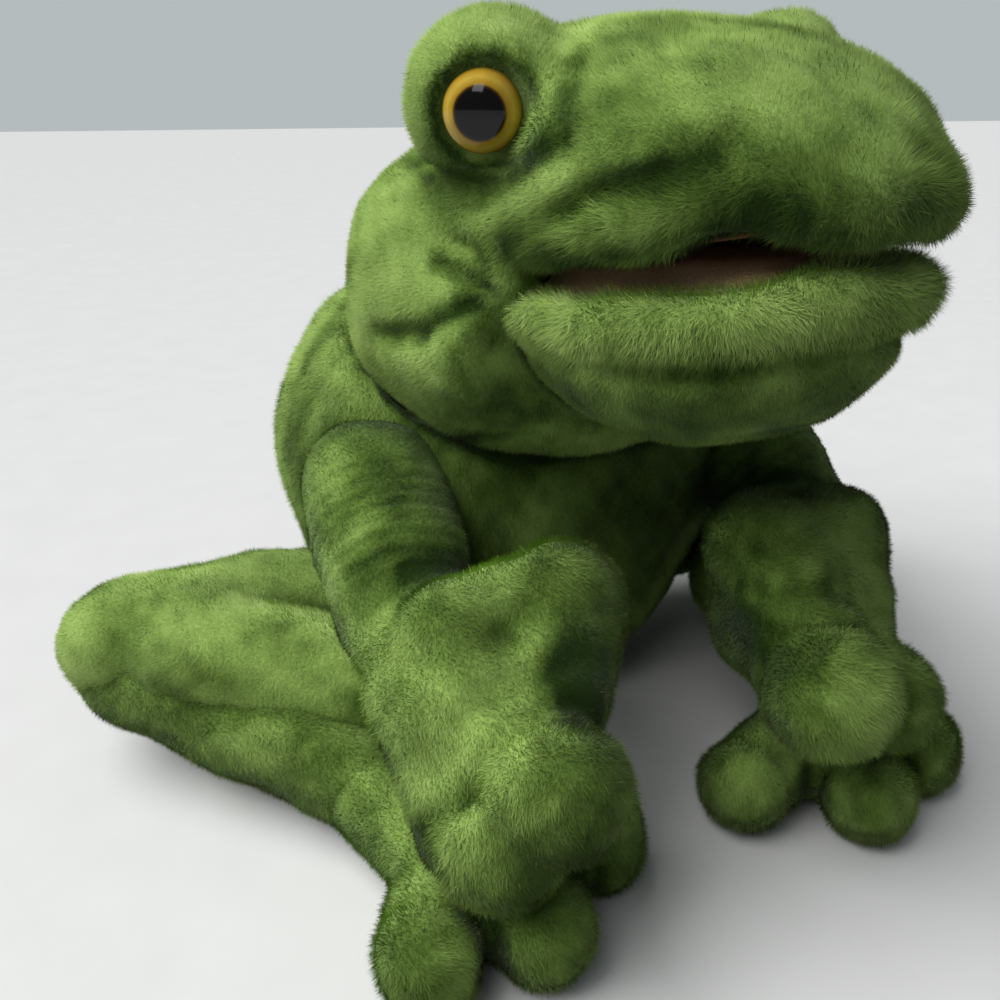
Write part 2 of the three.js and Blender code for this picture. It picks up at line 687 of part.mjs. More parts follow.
function buildHead(neck) {
  const head = groupAt(neck, NECK);
  const boardLow = PALATE_HOLLOW + LINING_THICKNESS + LAYER_GAP;
  const boardHigh = boardLow + BOARD_THICKNESS;
  for (const [label, side] of SIDES) {
    buildEye(head, side, label);
  }
  const behindJaw = block(at(-BIG, HINGE_Y + JAW_SWING_ROOM, -BIG), at(BIG, BIG, BIG));
  const overLip = overMouth(UPPER_LIP_Z, UPPER_SLOPE);
  const jawRoom = cut(solid(jawForm(GAP)), solid(behindJaw), solid(overLip));
  const recess = mouthLayer(-BOARD_THICKNESS, boardHigh + LAYER_GAP, UPPER_LIP_Z, UPPER_SLOPE, LAYER_GAP);
  const shell = cut(
    join(skullForm(), muzzleForm()),
    solid(underMouth(UPPER_LIP_Z, UPPER_SLOPE)),
    jawRoom,
    solid(drumRoom()),
    eyeRoom(-1),
    eyeRoom(1),
    handHollow,
    neckBore,
    collarRoomInHead,
    solid(fingerPocketForm(GAP)),
    solid(recess),
  );
  addMesh(head, 'head_shell', shell, cloth(PLUSH));
  const board = solid(mouthLayer(boardLow, boardHigh, UPPER_LIP_Z, UPPER_SLOPE));
  const lining = solid(mouthLayer(PALATE_HOLLOW, PALATE_HOLLOW + LINING_THICKNESS, UPPER_LIP_Z, UPPER_SLOPE));
  const room = [solid(drumRoom()), solid(fingerPocketForm(GAP))];
  addMesh(head, 'upper_palate_board', cut(board, ...room), cloth(CARD));
  addMesh(head, 'upper_mouth_lining', cut(lining, ...room), cloth(MOUTH_BROWN));
  const pocket = cut(pouch(fingerPocketForm, HOLLOW_Y), handHollow);
  addMesh(head, 'finger_pocket', pocket, cloth(LINING));
  return head;
}

// Jaw: the lower lip and throat, turning on a drum inside the cheeks

function buildJaw(head) {
  const jaw = groupAt(head, HINGE);
  const front = cut(solid(jawForm()), solid(block(at(-BIG, HINGE_Y, -BIG), at(BIG, BIG, BIG))));
  const drum = cut(solid(drumForm()), solid(block(at(-BIG, -BIG, DRUM_TOP), at(BIG, BIG, BIG))));
  const boardLow = -LINING_THICKNESS - LAYER_GAP - BOARD_THICKNESS;
  const recess = mouthLayer(boardLow - LAYER_GAP, PALATE_HOLLOW, lowerLipZ, LOWER_SLOPE, LAYER_GAP);
  const body = cut(
    front.add(drum),
    solid(overMouth(lowerLipZ, LOWER_SLOPE)),
    solid(recess),
    solid(thumbPocketForm(GAP)),
  );
  addMesh(jaw, 'lower_jaw', body, cloth(PLUSH_LIGHT));
  const board = mouthLayer(boardLow, boardLow + BOARD_THICKNESS, lowerLipZ, LOWER_SLOPE);
  const lining = mouthLayer(-LINING_THICKNESS, 0, lowerLipZ, LOWER_SLOPE);
  addMesh(jaw, 'lower_palate_board', solid(board), cloth(CARD));
  addMesh(jaw, 'lower_mouth_lining', solid(lining), cloth(MOUTH_TAN));
  addMesh(jaw, 'thumb_pocket', pouch(thumbPocketForm, HINGE_Y), cloth(LINING));
}

// Neck: a soft collar between the torso and the head

function buildNeck(torso) {
  const neck = groupAt(torso, NECK);
  const ring = cut(solid(shellCap(COLLAR_INNER, collarOuter, COLLAR_SPREAD)), neckBore);
  addMesh(neck, 'neck_collar', ring, cloth(LINING));
  return neck;
}

// Arms: an upper arm and a forearm with a three-fingered hand

function buildArm(torso, side, label) {
  const arm = groupAt(torso, shoulder(side));
  addMesh(arm, `upper_arm_${label}`, cut(solid(upperArmForm(side)), solid(elbowRoom(side))), cloth(PLUSH));
  const hand = groupAt(arm, elbow(side));
  const paw = join(
    forearmForm(side),
    webForm(side),
    fingerForm(side, innerTip(side), INNER_FINGER_RADIUS),
    fingerForm(side, middleTip(side), MIDDLE_FINGER_RADIUS),
    fingerForm(side, outerTip(side), OUTER_FINGER_RADIUS),
  );
  addMesh(hand, `forearm_hand_${label}`, paw, cloth(PLUSH_LIGHT));
}

// Legs: a thigh out to the side, a shin folded forwards and a three-toed foot

function buildLeg(torso, side, label) {
  const leg = groupAt(torso, hip(side));
  addMesh(leg, `thigh_${label}`, cut(solid(thighForm(side)), FLOOR, solid(kneeRoom(side))), cloth(PLUSH));
  const lower = groupAt(leg, knee(side));
  addMesh(lower, `shin_${label}`, cut(solid(shinForm(side)), FLOOR, solid(ankleRoom(side))), cloth(PLUSH));
  const end = groupAt(lower, ankle(side));
  const foot = join(
    soleForm(side),
    toeForm(side, OUTER_TOE_X, OUTER_TOE_Y),
    toeForm(side, MIDDLE_TOE_X, MIDDLE_TOE_Y),
    toeForm(side, INNER_TOE_X, INNER_TOE_Y),
  );
  addMesh(end, `foot_${label}`, cut(foot, FLOOR), cloth(PLUSH_DARK));
}

const torso = buildTorso();
const neck = buildNeck(torso);
const head = buildHead(neck);
buildJaw(head);
for (const [label, side] of SIDES) {
  buildArm(torso, side, label);
  buildLeg(torso, side, label);
}

export default frog;
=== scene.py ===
"""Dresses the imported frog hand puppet: stuffed skins, plush pile, a velvet mouth and glossy eyes.

Soft shapes are signed distance forms in millimetres. Each is meshed by a surface net and covered with pile,
which is a mass of short fine blades that lean along the nap.
"""

import logging
import math
from collections.abc import Mapping, Sequence
from dataclasses import dataclass, field, replace
from enum import Enum
from typing import Any

import bpy
import numpy as np
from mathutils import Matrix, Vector


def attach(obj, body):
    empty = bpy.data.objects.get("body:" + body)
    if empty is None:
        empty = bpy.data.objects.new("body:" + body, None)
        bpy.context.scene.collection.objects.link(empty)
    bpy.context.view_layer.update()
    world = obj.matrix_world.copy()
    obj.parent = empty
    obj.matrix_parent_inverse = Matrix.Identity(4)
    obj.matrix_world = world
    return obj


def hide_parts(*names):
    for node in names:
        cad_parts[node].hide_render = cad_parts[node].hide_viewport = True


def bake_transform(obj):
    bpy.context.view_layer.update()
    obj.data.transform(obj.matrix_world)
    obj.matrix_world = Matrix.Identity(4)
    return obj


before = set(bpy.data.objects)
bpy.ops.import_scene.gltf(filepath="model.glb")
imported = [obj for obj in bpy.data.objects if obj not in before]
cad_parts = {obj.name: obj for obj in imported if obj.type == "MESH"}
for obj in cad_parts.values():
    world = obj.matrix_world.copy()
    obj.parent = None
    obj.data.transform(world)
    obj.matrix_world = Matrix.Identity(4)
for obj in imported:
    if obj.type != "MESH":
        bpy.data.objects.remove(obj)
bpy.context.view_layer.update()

Array = np.ndarray
Colour = tuple[float, float, float]
Node = bpy.types.Object
Surface = tuple[Array, Array, Array]
Plane = tuple[Sequence[float], Sequence[float]]

MM = 0.001
MAP_NAME = "OFBake"
TONE_NAME = "tone"
BLADES_PER_PIECE = 195000

log = logging.getLogger("puppet")


class Side(Enum):
    """The puppet's own right and left; the value is the sign of X."""

    RIGHT = -1
    LEFT = 1

    @property
    def word(self) -> str:
        """The side's name as pieces and bodies spell it."""
        return self.name.lower()

    def at(self, x: float, y: float, z: float) -> Array:
        """A point given for the left side, moved to this side."""
        return np.array((self.value * x, y, z), float)


class Slot(Enum):
    """The record's material slots, named for the soft pieces and the eyes."""

    PLUSH = "plush"
    LINING = "sleeve_lining"
    ROOF = "mouth_roof"
    FLOOR = "mouth_floor"
    EYE = "eye"


def unit(vectors: Array) -> Array:
    """Scales vectors along the last axis to length one."""
    return vectors / np.maximum(np.linalg.norm(vectors, axis=-1, keepdims=True), 1e-9)


def soft_min(first: Array, second: Array, soft: float) -> Array:
    """Takes the smaller of two fields, rounded over where they differ by less than a width.

    Args:
        first: One field.
        second: The other field.
        soft: The width of the rounding.

    Returns:
        The smaller value, lowered by a parabola where the two are close.
    """
    share = np.clip(0.5 + 0.5 * (second - first) / soft, 0.0, 1.0)
    return second + (first - second) * share - soft * share * (1.0 - share)


class Form:
    """A soft shape given by its signed distance in millimetres, negative inside."""

    def distance(self, points: Array) -> Array:
        """The distance from each point to the surface."""
        raise NotImplementedError

    def box(self) -> tuple[Array, Array]:
        """The lowest and highest corner that the shape can reach."""
        raise NotImplementedError

    def outward(self, points: Array, reach: float = 0.4) -> Array:
        """Finds the direction in which the distance grows, from differences along the three axes.

        Args:
            points: Where to look.
            reach: Half the span of each difference.

        Returns:
            One unit vector per point.
        """
        rise = [self.distance(points + step) - self.distance(points - step) for step in np.eye(3) * reach]
        return unit(np.stack(rise, -1))


@dataclass(frozen=True, eq=False)
class Ball(Form):
    """A superellipsoid: the sum of (offset / half) to a power is one on its surface."""

    center: Sequence[float]
    half: Sequence[float]
    power: float = 2.0
    tilt: float = 0.0

    def distance(self, points: Array) -> Array:
        """Divides the excess of the power norm by the length of its gradient.

        Args:
            points: Where to measure.

        Returns:
            One distance per point.
        """
        offset = points - np.asarray(self.center, float)
        if self.tilt:
            turn = math.radians(self.tilt)
            cos, sin = math.cos(turn), math.sin(turn)
            x, y, z = np.moveaxis(offset, -1, 0)
            offset = np.stack((x, y * cos - z * sin, y * sin + z * cos), -1)
        half = np.asarray(self.half, float)
        scaled = np.abs(offset) / half
        total = np.maximum((scaled ** self.power).sum(-1), 1e-9)
        norm = total ** (1.0 / self.power)
        rate = np.linalg.norm((scaled / norm[..., None]) ** (self.power - 1.0) / half, axis=-1)
        return (norm - 1.0) / np.maximum(rate, 0.5 / half.max())

    def box(self) -> tuple[Array, Array]:
        """The box of the shape, or of its ball when it is tilted."""
        half = np.full(3, max(self.half)) if self.tilt else np.asarray(self.half, float)
        return self.center - half, self.center + half


@dataclass(frozen=True, eq=False)
class Limb(Form):
    """A tapered capsule whose radius also swells as half a sine wave along it."""

    start: Array
    end: Array
    start_radius: float
    end_radius: float
    swell: float = 0.0

    def distance(self, points: Array) -> Array:
        """Measures to the nearest point of the axis and takes off the radius there.

        Args:
            points: Where to measure.

        Returns:
            One distance per point.
        """
        along = np.asarray(self.end, float) - self.start
        share = np.clip((points - self.start) @ along / (along @ along), 0.0, 1.0)
        radius = self.start_radius + (self.end_radius - self.start_radius) * share
        radius = radius + self.swell * np.sin(np.pi * share)
        return np.linalg.norm(points - self.start - share[..., None] * along, axis=-1) - radius

    def box(self) -> tuple[Array, Array]:
        """The box of the two end balls, grown by the swell."""
        reach = max(self.start_radius, self.end_radius) + self.swell
        return np.minimum(self.start, self.end) - reach, np.maximum(self.start, self.end) + reach


@dataclass(frozen=True, eq=False)
class Roll(Form):
    """A round roll that follows a path of points, with a radius at each."""

    path: Array
    radii: Array

    def distance(self, points: Array) -> Array:
        """The least distance to the capsules between neighbouring points of the path.

        Args:
            points: Where to measure.

        Returns:
            One distance per point.
        """
        best = np.full(points.shape[:-1], np.inf)
        for start, end, first, last in zip(self.path[:-1], self.path[1:], self.radii[:-1], self.radii[1:]):
            best = np.minimum(best, Limb(start, end, first, last).distance(points))
        return best

    def box(self) -> tuple[Array, Array]:
        """The box of the path, grown by the largest radius."""
        reach = np.max(self.radii)
        return self.path.min(0) - reach, self.path.max(0) + reach


@dataclass(frozen=True, eq=False)
class Wedge(Form):
    """The space behind several planes, each a point and an outward normal."""

    planes: Sequence[Plane]

    def distance(self, points: Array) -> Array:
        """The greatest height over any of the planes."""
        heights = [(points - np.asarray(point, float)) @ unit(np.asarray(normal, float))
                   for point, normal in self.planes]
        return np.max(heights, axis=0)

    def box(self) -> tuple[Array, Array]:
        """A wedge has no box of its own, so it is only used to carve."""
        raise NotImplementedError


@dataclass(frozen=True, eq=False)
class Wrapped(Form):
    """A form made from another one, which it stays inside of unless it says otherwise."""

    base: Form

    def box(self) -> tuple[Array, Array]:
        """The base's box."""
        return self.base.box()


@dataclass(frozen=True, eq=False)
class Grown(Wrapped):
    """A form moved outward all over."""

    by: float

    def distance(self, points: Array) -> Array:
        """The base's distance less the growth."""
        return self.base.distance(points) - self.by

    def box(self) -> tuple[Array, Array]:
        """The base's box, grown."""
        low, high = self.base.box()
        return low - self.by, high + self.by


@dataclass(frozen=True, eq=False)
class Joined(Form):
    """Several forms sewn into one, with a rounded valley where they meet."""

    forms: Sequence[Form]
    soft: float = 6.0

    def distance(self, points: Array) -> Array:
        """Folds the forms together with the soft minimum.

        Args:
            points: Where to measure.

        Returns:
            One distance per point.
        """
        total = self.forms[0].distance(points)
        for form in self.forms[1:]:
            total = soft_min(total, form.distance(points), self.soft)
        return total

    def box(self) -> tuple[Array, Array]:
        """The box round all the forms."""
        corners = [form.box() for form in self.forms]
        return np.min([c[0] for c in corners], 0), np.max([c[1] for c in corners], 0)


@dataclass(frozen=True, eq=False)
class Carved(Wrapped):
    """A form with others taken out of it, with a rounded edge."""

    tools: Sequence[Form]
    soft: float = 3.0

    def distance(self, points: Array) -> Array:
        """Takes the soft maximum of the base and of each tool turned inside out.

        Args:
            points: Where to measure.

        Returns:
            One distance per point.
        """
        total = self.base.distance(points)
        for tool in self.tools:
            total = -soft_min(-total, tool.distance(points), self.soft)
        return total


class Fold:
    """Something that draws a stuffed skin in."""

    def depth_at(self, points: Array) -> Array:
        """How far the skin is drawn in at each point, in millimetres."""
        raise NotImplementedError


@dataclass(frozen=True, eq=False)
class Crease(Fold):
    """A sewn or folded line: its points, how deep it draws in and how wide it is."""

    path: Sequence[Sequence[float]]
    depth: float = 2.0
    width: float = 3.5

    def depth_at(self, points: Array) -> Array:
        """A bell curve of the distance to the line.

        Args:
            points: Where to measure.

        Returns:
            One depth per point.
        """
        path = np.asarray(self.path, float)
        away = Roll(path, np.zeros(len(path))).distance(points)
        return self.depth * np.exp(-((away / self.width) ** 2))

    def mirrored(self) -> "Crease":
        """The same line on the other side."""
        return replace(self, path=[(-x, y, z) for x, y, z in self.path])


@dataclass(frozen=True, eq=False)
class Creased(Wrapped):
    """A form drawn in by its folds."""

    folds: Sequence[Fold]

    def distance(self, points: Array) -> Array:
        """Adds each fold's depth to the base's distance."""
        return self.base.distance(points) + sum(fold.depth_at(points) for fold in self.folds)


@dataclass(frozen=True)
class Unevenness:
    """Seeded soft noise: a sum of sine waves in random directions near one wavelength."""

    size: float
    seed: int
    waves: int = 9

    def at(self, points: Array) -> Array:
        """The noise at each point, about -1 to 1.

        Args:
            points: Where to measure.

        Returns:
            One value per point.
        """
        rng = np.random.default_rng(self.seed)
        ways = unit(rng.normal(size=(self.waves, 3))) * (2.0 * np.pi / self.size)
        ways = ways * rng.uniform(0.7, 1.5, (self.waves, 1))
        phase = rng.uniform(0.0, 2.0 * np.pi, self.waves)
        return np.sin(points @ ways.T + phase).sum(-1) / math.sqrt(2.0 * self.waves)


@dataclass(frozen=True, eq=False)
class Lumpy(Wrapped):
    """A form whose surface rises and falls a little, as stuffing under cloth does."""

    seed: int
    broad: float = 1.3
    fine: float = 0.45

    def distance(self, points: Array) -> Array:
        """Adds broad and fine noise to the base's distance."""
        swells = self.broad * Unevenness(38.0, self.seed).at(points)
        return self.base.distance(points) + swells + self.fine * Unevenness(13.0, self.seed + 1).at(points)

    def box(self) -> tuple[Array, Array]:
        """The base's box, grown by the noise."""
        low, high = self.base.box()
        return low - 2.0, high + 2.0


@dataclass(frozen=True, eq=False)
class Rings(Fold):
    """Ring wrinkles across an axis, in a window along it."""

    middle: Array
    along: Array
    spacing: float = 6.0
    depth: float = 1.0
    window: float = 17.0

    def depth_at(self, points: Array) -> Array:
        """A cosine of the way along the axis, faded by a bell curve round the middle.

        Args:
            points: Where to measure.

        Returns:
            One depth per point.
        """
        way = (points - self.middle) @ unit(self.along)
        wave = 0.5 + 0.5 * np.cos(2.0 * np.pi * way / self.spacing + 1.3 * Unevenness(40.0, 5).at(points))
        return self.depth * wave * np.exp(-((way / self.window) ** 2))


@dataclass
class Skin:
    """A meshed surface in millimetres: points, quads and outward directions."""

    points: Array
    quads: Array
    normals: Array

    @classmethod
    def smooth(cls, points: Array, quads: Array) -> "Skin":
        """Gives points and quads the mean direction of the faces at each point, weighted by area.

        Args:
            points: The surface's points.
            quads: Its quads.

        Returns:
            The skin with its directions.
        """
        first, second, third, fourth = (points[quads[:, i]] for i in range(4))
        faces = np.cross(third - first, fourth - second)
        flat = np.repeat(quads.ravel()[:, None], 3, 1) * 3 + np.arange(3)
        total = np.bincount(flat.ravel(), np.repeat(faces, 4, 0).ravel(), points.size)
        return cls(points, quads, unit(total.reshape(-1, 3)))

    def drawn_in(self, folds: Sequence[Fold]) -> "Skin":
        """The skin with its folds pressed in against its own directions."""
        depth = sum((fold.depth_at(self.points) for fold in folds), np.zeros(len(self.points)))
        return Skin.smooth(self.points - depth[:, None] * self.normals, self.quads)


def ring_path(center: Array, axis: Array, radius: float) -> Array:
    """Points of a closed circle about an axis.

    Args:
        center: The circle's middle.
        axis: The way it is looked along.
        radius: Its radius.

    Returns:
        The circle's points, with the first one again at the end.
    """
    first = unit(np.cross(axis, (0.31, 0.17, 0.94)))
    turn = np.linspace(0.0, 2.0 * np.pi, 25)[:, None]
    return center + radius * (np.cos(turn) * first + np.sin(turn) * np.cross(unit(axis), first))


def base_crease(start: Array, tip: Array, back: float, radius: float, depth: float, width: float) -> Crease:
    """Makes the ring-shaped crease at the base of a finger or toe.

    Args:
        start: Where the finger or toe comes from.
        tip: The middle of its rounded end.
        back: How far behind the tip the ring lies.
        radius: The ring's radius.
        depth: How deep it draws in.
        width: How wide it is.

    Returns:
        The crease.
    """
    return Crease(ring_path(tip - back * unit(tip - start), tip - start, radius), depth, width)


def turns(count: int) -> Array:
    """Angles once round a circle, without the last one that meets the first."""
    return np.linspace(0.0, 2.0 * np.pi, count, endpoint=False)


def grid(first: Array, second: Array) -> tuple[Array, Array]:
    """The two parameters of a surface at each point of its grid."""
    return tuple(np.meshgrid(first, second, indexing="ij"))


def laid_out(points: Array, uv: Array, quads: Array) -> Surface:
    """Lists a grid's points and its map row by row, with the map drawn in a little from its edges."""
    return points.reshape(-1, 3), quads, 0.01 + 0.98 * uv.reshape(-1, 2)


def grid_quads(rows: int, columns: int, around: bool = False, flip: bool = False) -> Array:
    """Numbers the quads of a grid of points stored row by row.

    Args:
        rows: Points along the first parameter.
        columns: Points along the second parameter.
        around: Whether the last column meets the first.
        flip: Whether the faces are turned over.

    Returns:
        One row of four point numbers per quad.
    """
    last = columns if around else columns - 1
    row, column = np.meshgrid(np.arange(rows - 1), np.arange(last), indexing="ij")
    after = (column + 1) % columns
    quads = np.stack((row * columns + column, row * columns + after,
                      (row + 1) * columns + after, (row + 1) * columns + column), -1).reshape(-1, 4)
    return quads[:, ::-1] if flip else quads


class SurfaceNet:
    """Meshes a form: a point in each grid cell that the surface crosses, a quad over each crossed edge."""

    def __init__(self, form: Form, step: float) -> None:
        """Samples the form's distance on a grid.

        Args:
            form: The form to mesh.
            step: The grid's spacing in millimetres.
        """
        low, high = form.box()
        self.form, self.step, self.low = form, step, low - 3.0 * step
        counts = np.ceil((high - low) / step).astype(int) + 7
        ways = [self.low[i] + step * np.arange(counts[i]) for i in range(3)]
        self.values = np.concatenate([
            form.distance(np.stack(np.meshgrid(part, ways[1], ways[2], indexing="ij"), -1))
            for part in np.array_split(ways[0], max(1, counts[0] // 16))
        ])

    def crossings(self, axis: int) -> tuple[Array, Array, Array]:
        """Finds the grid edges along an axis that the surface crosses.

        Args:
            axis: 0, 1 or 2.

        Returns:
            Whether each edge is crossed, how far along it, and whether it starts inside.
        """
        start = np.take(self.values, np.arange(self.values.shape[axis] - 1), axis)
        end = np.take(self.values, np.arange(1, self.values.shape[axis]), axis)
        crossed = (start < 0.0) != (end < 0.0)
        return crossed, np.where(crossed, start / np.where(crossed, start - end, 1.0), 0.0), start < 0.0

    def mesh(self) -> Skin:
        """Joins the crossed cells into quads and draws the points onto the surface.

        Returns:
            The skin, with normals from the form's own slope.
        """
        cells = tuple(n - 1 for n in self.values.shape)
        total, hits = np.zeros(cells + (3,)), np.zeros(cells)
        found = [self.crossings(axis) for axis in range(3)]
        for axis, (crossed, share, _) in enumerate(found):
            second, third = (axis + 1) % 3, (axis + 2) % 3
            for shift in ((0, 0), (0, 1), (1, 0), (1, 1)):
                cut = [slice(None)] * 3
                cut[second] = slice(shift[0], shift[0] + cells[second])
                cut[third] = slice(shift[1], shift[1] + cells[third])
                part = crossed[tuple(cut)]
                hits += part
                total[..., axis] += share[tuple(cut)]
                total[..., second] += shift[0] * part
                total[..., third] += shift[1] * part
        used = hits > 0
        number = np.full(cells, -1)
        number[used] = np.arange(used.sum())
        points = self.low + self.step * (np.argwhere(used) + total[used] / hits[used][:, None])
        quads = np.concatenate([self.faces(axis, *found[axis][::2], number) for axis in range(3)])
        for _ in range(2):
            points = points - self.form.distance(points)[:, None] * self.form.outward(points)
        return Skin(points, quads, self.form.outward(points, 0.8))

    @staticmethod
    def faces(axis: int, crossed: Array, inside: Array, number: Array) -> Array:
        """Makes one quad for each crossed edge, from the four cells round it.

        Args:
            axis: The edges' axis.
            crossed: Whether each edge is crossed.
            inside: Whether each edge starts inside, which sets the way the quad faces.
            number: Each cell's point number.

        Returns:
            One row of four point numbers per quad.
        """
        second, third = (axis + 1) % 3, (axis + 2) % 3
        edges = np.argwhere(crossed)
        room = (edges[:, second] > 0) & (edges[:, third] > 0)
        room &= (edges[:, second] < number.shape[second]) & (edges[:, third] < number.shape[third])
        edges = edges[room]
        corners = []
        for back in ((1, 1), (0, 1), (0, 0), (1, 0)):
            cell = edges.copy()
            cell[:, second] -= back[0]
            cell[:, third] -= back[1]
            corners.append(number[tuple(cell.T)])
        quads = np.stack(corners, -1)
        outward = inside[tuple(edges.T)]
        return np.where(outward[:, None], quads, quads[:, ::-1])


def make_object(name: str, points: Array, faces: Array, normals: Array | None = None,
                uv: Array | None = None, bends: bool = False) -> Node:
    """Puts arrays into a mesh object at the origin.

    Args:
        name: The piece's name.
        points: Places in millimetres.
        faces: Rows of three or four point numbers.
        normals: Directions for smooth shading, one per point, or none to work them out.
        uv: One place on the map per point, or none.
        bends: Whether the normals have to turn with the faces when the piece bends.

    Returns:
        The new object, linked into the scene.
    """
    mesh = bpy.data.meshes.new(name)
    mesh.vertices.add(len(points))
    mesh.vertices.foreach_set("co", (points * MM).astype(np.float32).ravel())
    mesh.loops.add(faces.size)
    mesh.loops.foreach_set("vertex_index", faces.astype(np.int32).ravel())
    mesh.polygons.add(len(faces))
    mesh.polygons.foreach_set("loop_start", np.arange(0, faces.size, faces.shape[1], dtype=np.int32))
    mesh.update(calc_edges=True)
    mesh.shade_smooth()
    if uv is not None:
        layer = mesh.uv_layers.new(name=MAP_NAME)
        layer.data.foreach_set("uv", uv[faces.ravel()].astype(np.float32).ravel())
    if normals is not None and bends:
        mesh.normals_split_custom_set_from_vertices(normals.astype(np.float32))
    elif normals is not None:
        layer = mesh.attributes.new("custom_normal", "FLOAT_VECTOR", "POINT")
        layer.data.foreach_set("vector", normals.astype(np.float32).ravel())
    piece = bpy.data.objects.new(name, mesh)
    bpy.context.scene.collection.objects.link(piece)
    return piece


@dataclass(frozen=True)
class Stuffing:
    """Swells a coarse skin from inside as cloth under pressure, then smooths it to half its spacing."""

    pressure: float = 4.0
    frames: int = 20
    cap: float = 2.4

    def swell(self, skin: Skin, still: Array) -> Skin:
        """Runs the cloth, and keeps each point within the cap of its start.

        Args:
            skin: The coarse skin.
            still: Which points stay where they are, because something lies against them.

        Returns:
            The swollen skin, with each quad split in four.
        """
        piece = make_object("swelling", skin.points, skin.quads)
        piece.vertex_groups.new(name="still").add(np.flatnonzero(still).tolist(), 1.0, "REPLACE")
        cloth = piece.modifiers.new("cloth", "CLOTH")
        cloth.settings.use_pressure = True
        cloth.settings.uniform_pressure_force = self.pressure
        cloth.settings.effector_weights.gravity = 0.0
        cloth.settings.vertex_group_mass = "still"
        cloth.point_cache.frame_end = self.frames
        for number in range(1, self.frames + 1):
            bpy.context.scene.frame_set(number)
        shift = self.read(piece)[0] - skin.points
        piece.modifiers.remove(cloth)
        bpy.context.scene.frame_set(1)
        reach = np.linalg.norm(shift, axis=-1, keepdims=True)
        shift *= np.minimum(1.0, self.cap / np.maximum(reach, 1e-6))
        log.info("swelling: mean %.2f mm", float(np.linalg.norm(shift, axis=-1).mean()))
        piece.data.vertices.foreach_set("co", ((skin.points + shift) * MM).astype(np.float32).ravel())
        piece.modifiers.new("halves", "SUBSURF").levels = 1
        points, quads = self.read(piece)
        bpy.data.objects.remove(piece)
        return Skin.smooth(points, quads)

    @staticmethod
    def read(piece: Node) -> tuple[Array, Array]:
        """The points, in millimetres, and the quads of a piece with its modifiers applied.

        Args:
            piece: The object to read.

        Returns:
            The points and the quads.
        """
        mesh = piece.evaluated_get(bpy.context.evaluated_depsgraph_get()).data
        points, quads = np.empty(3 * len(mesh.vertices)), np.empty(len(mesh.loops), np.int32)
        mesh.vertices.foreach_get("co", points)
        mesh.loops.foreach_get("vertex_index", quads)
        return points.reshape(-1, 3) / MM, quads.reshape(-1, 4)


class Wire:
    """One shader output that is added, multiplied and compared as a number is."""

    def __init__(self, shade: "Shade", socket: bpy.types.NodeSocket) -> None:
        """Keeps the socket and the material that it belongs to."""
        self.shade, self.socket = shade, socket

    def maths(self, operation: str, first: Any, second: Any = 0.0) -> "Wire":
        """Adds one Math node.

        Args:
            operation: The node's operation.
            first: A wire or a number.
            second: A wire or a number.

        Returns:
            The node's value.
        """
        return self.shade.node("ShaderNodeMath", {"operation": operation}, {0: first, 1: second})

    def __add__(self, other: Any) -> "Wire":
        """The sum."""
        return self.maths("ADD", self, other)

    def __radd__(self, other: Any) -> "Wire":
        """The sum, the other way round."""
        return self.maths("ADD", other, self)

    def __sub__(self, other: Any) -> "Wire":
        """The difference."""
        return self.maths("SUBTRACT", self, other)

    def __rsub__(self, other: Any) -> "Wire":
        """The difference, the other way round."""
        return self.maths("SUBTRACT", other, self)

    def __mul__(self, other: Any) -> "Wire":
        """The product."""
        return self.maths("MULTIPLY", self, other)

    def __rmul__(self, other: Any) -> "Wire":
        """The product, the other way round."""
        return self.maths("MULTIPLY", other, self)

    def sine(self) -> "Wire":
        """The sine, in radians."""
        return self.maths("SINE", self)


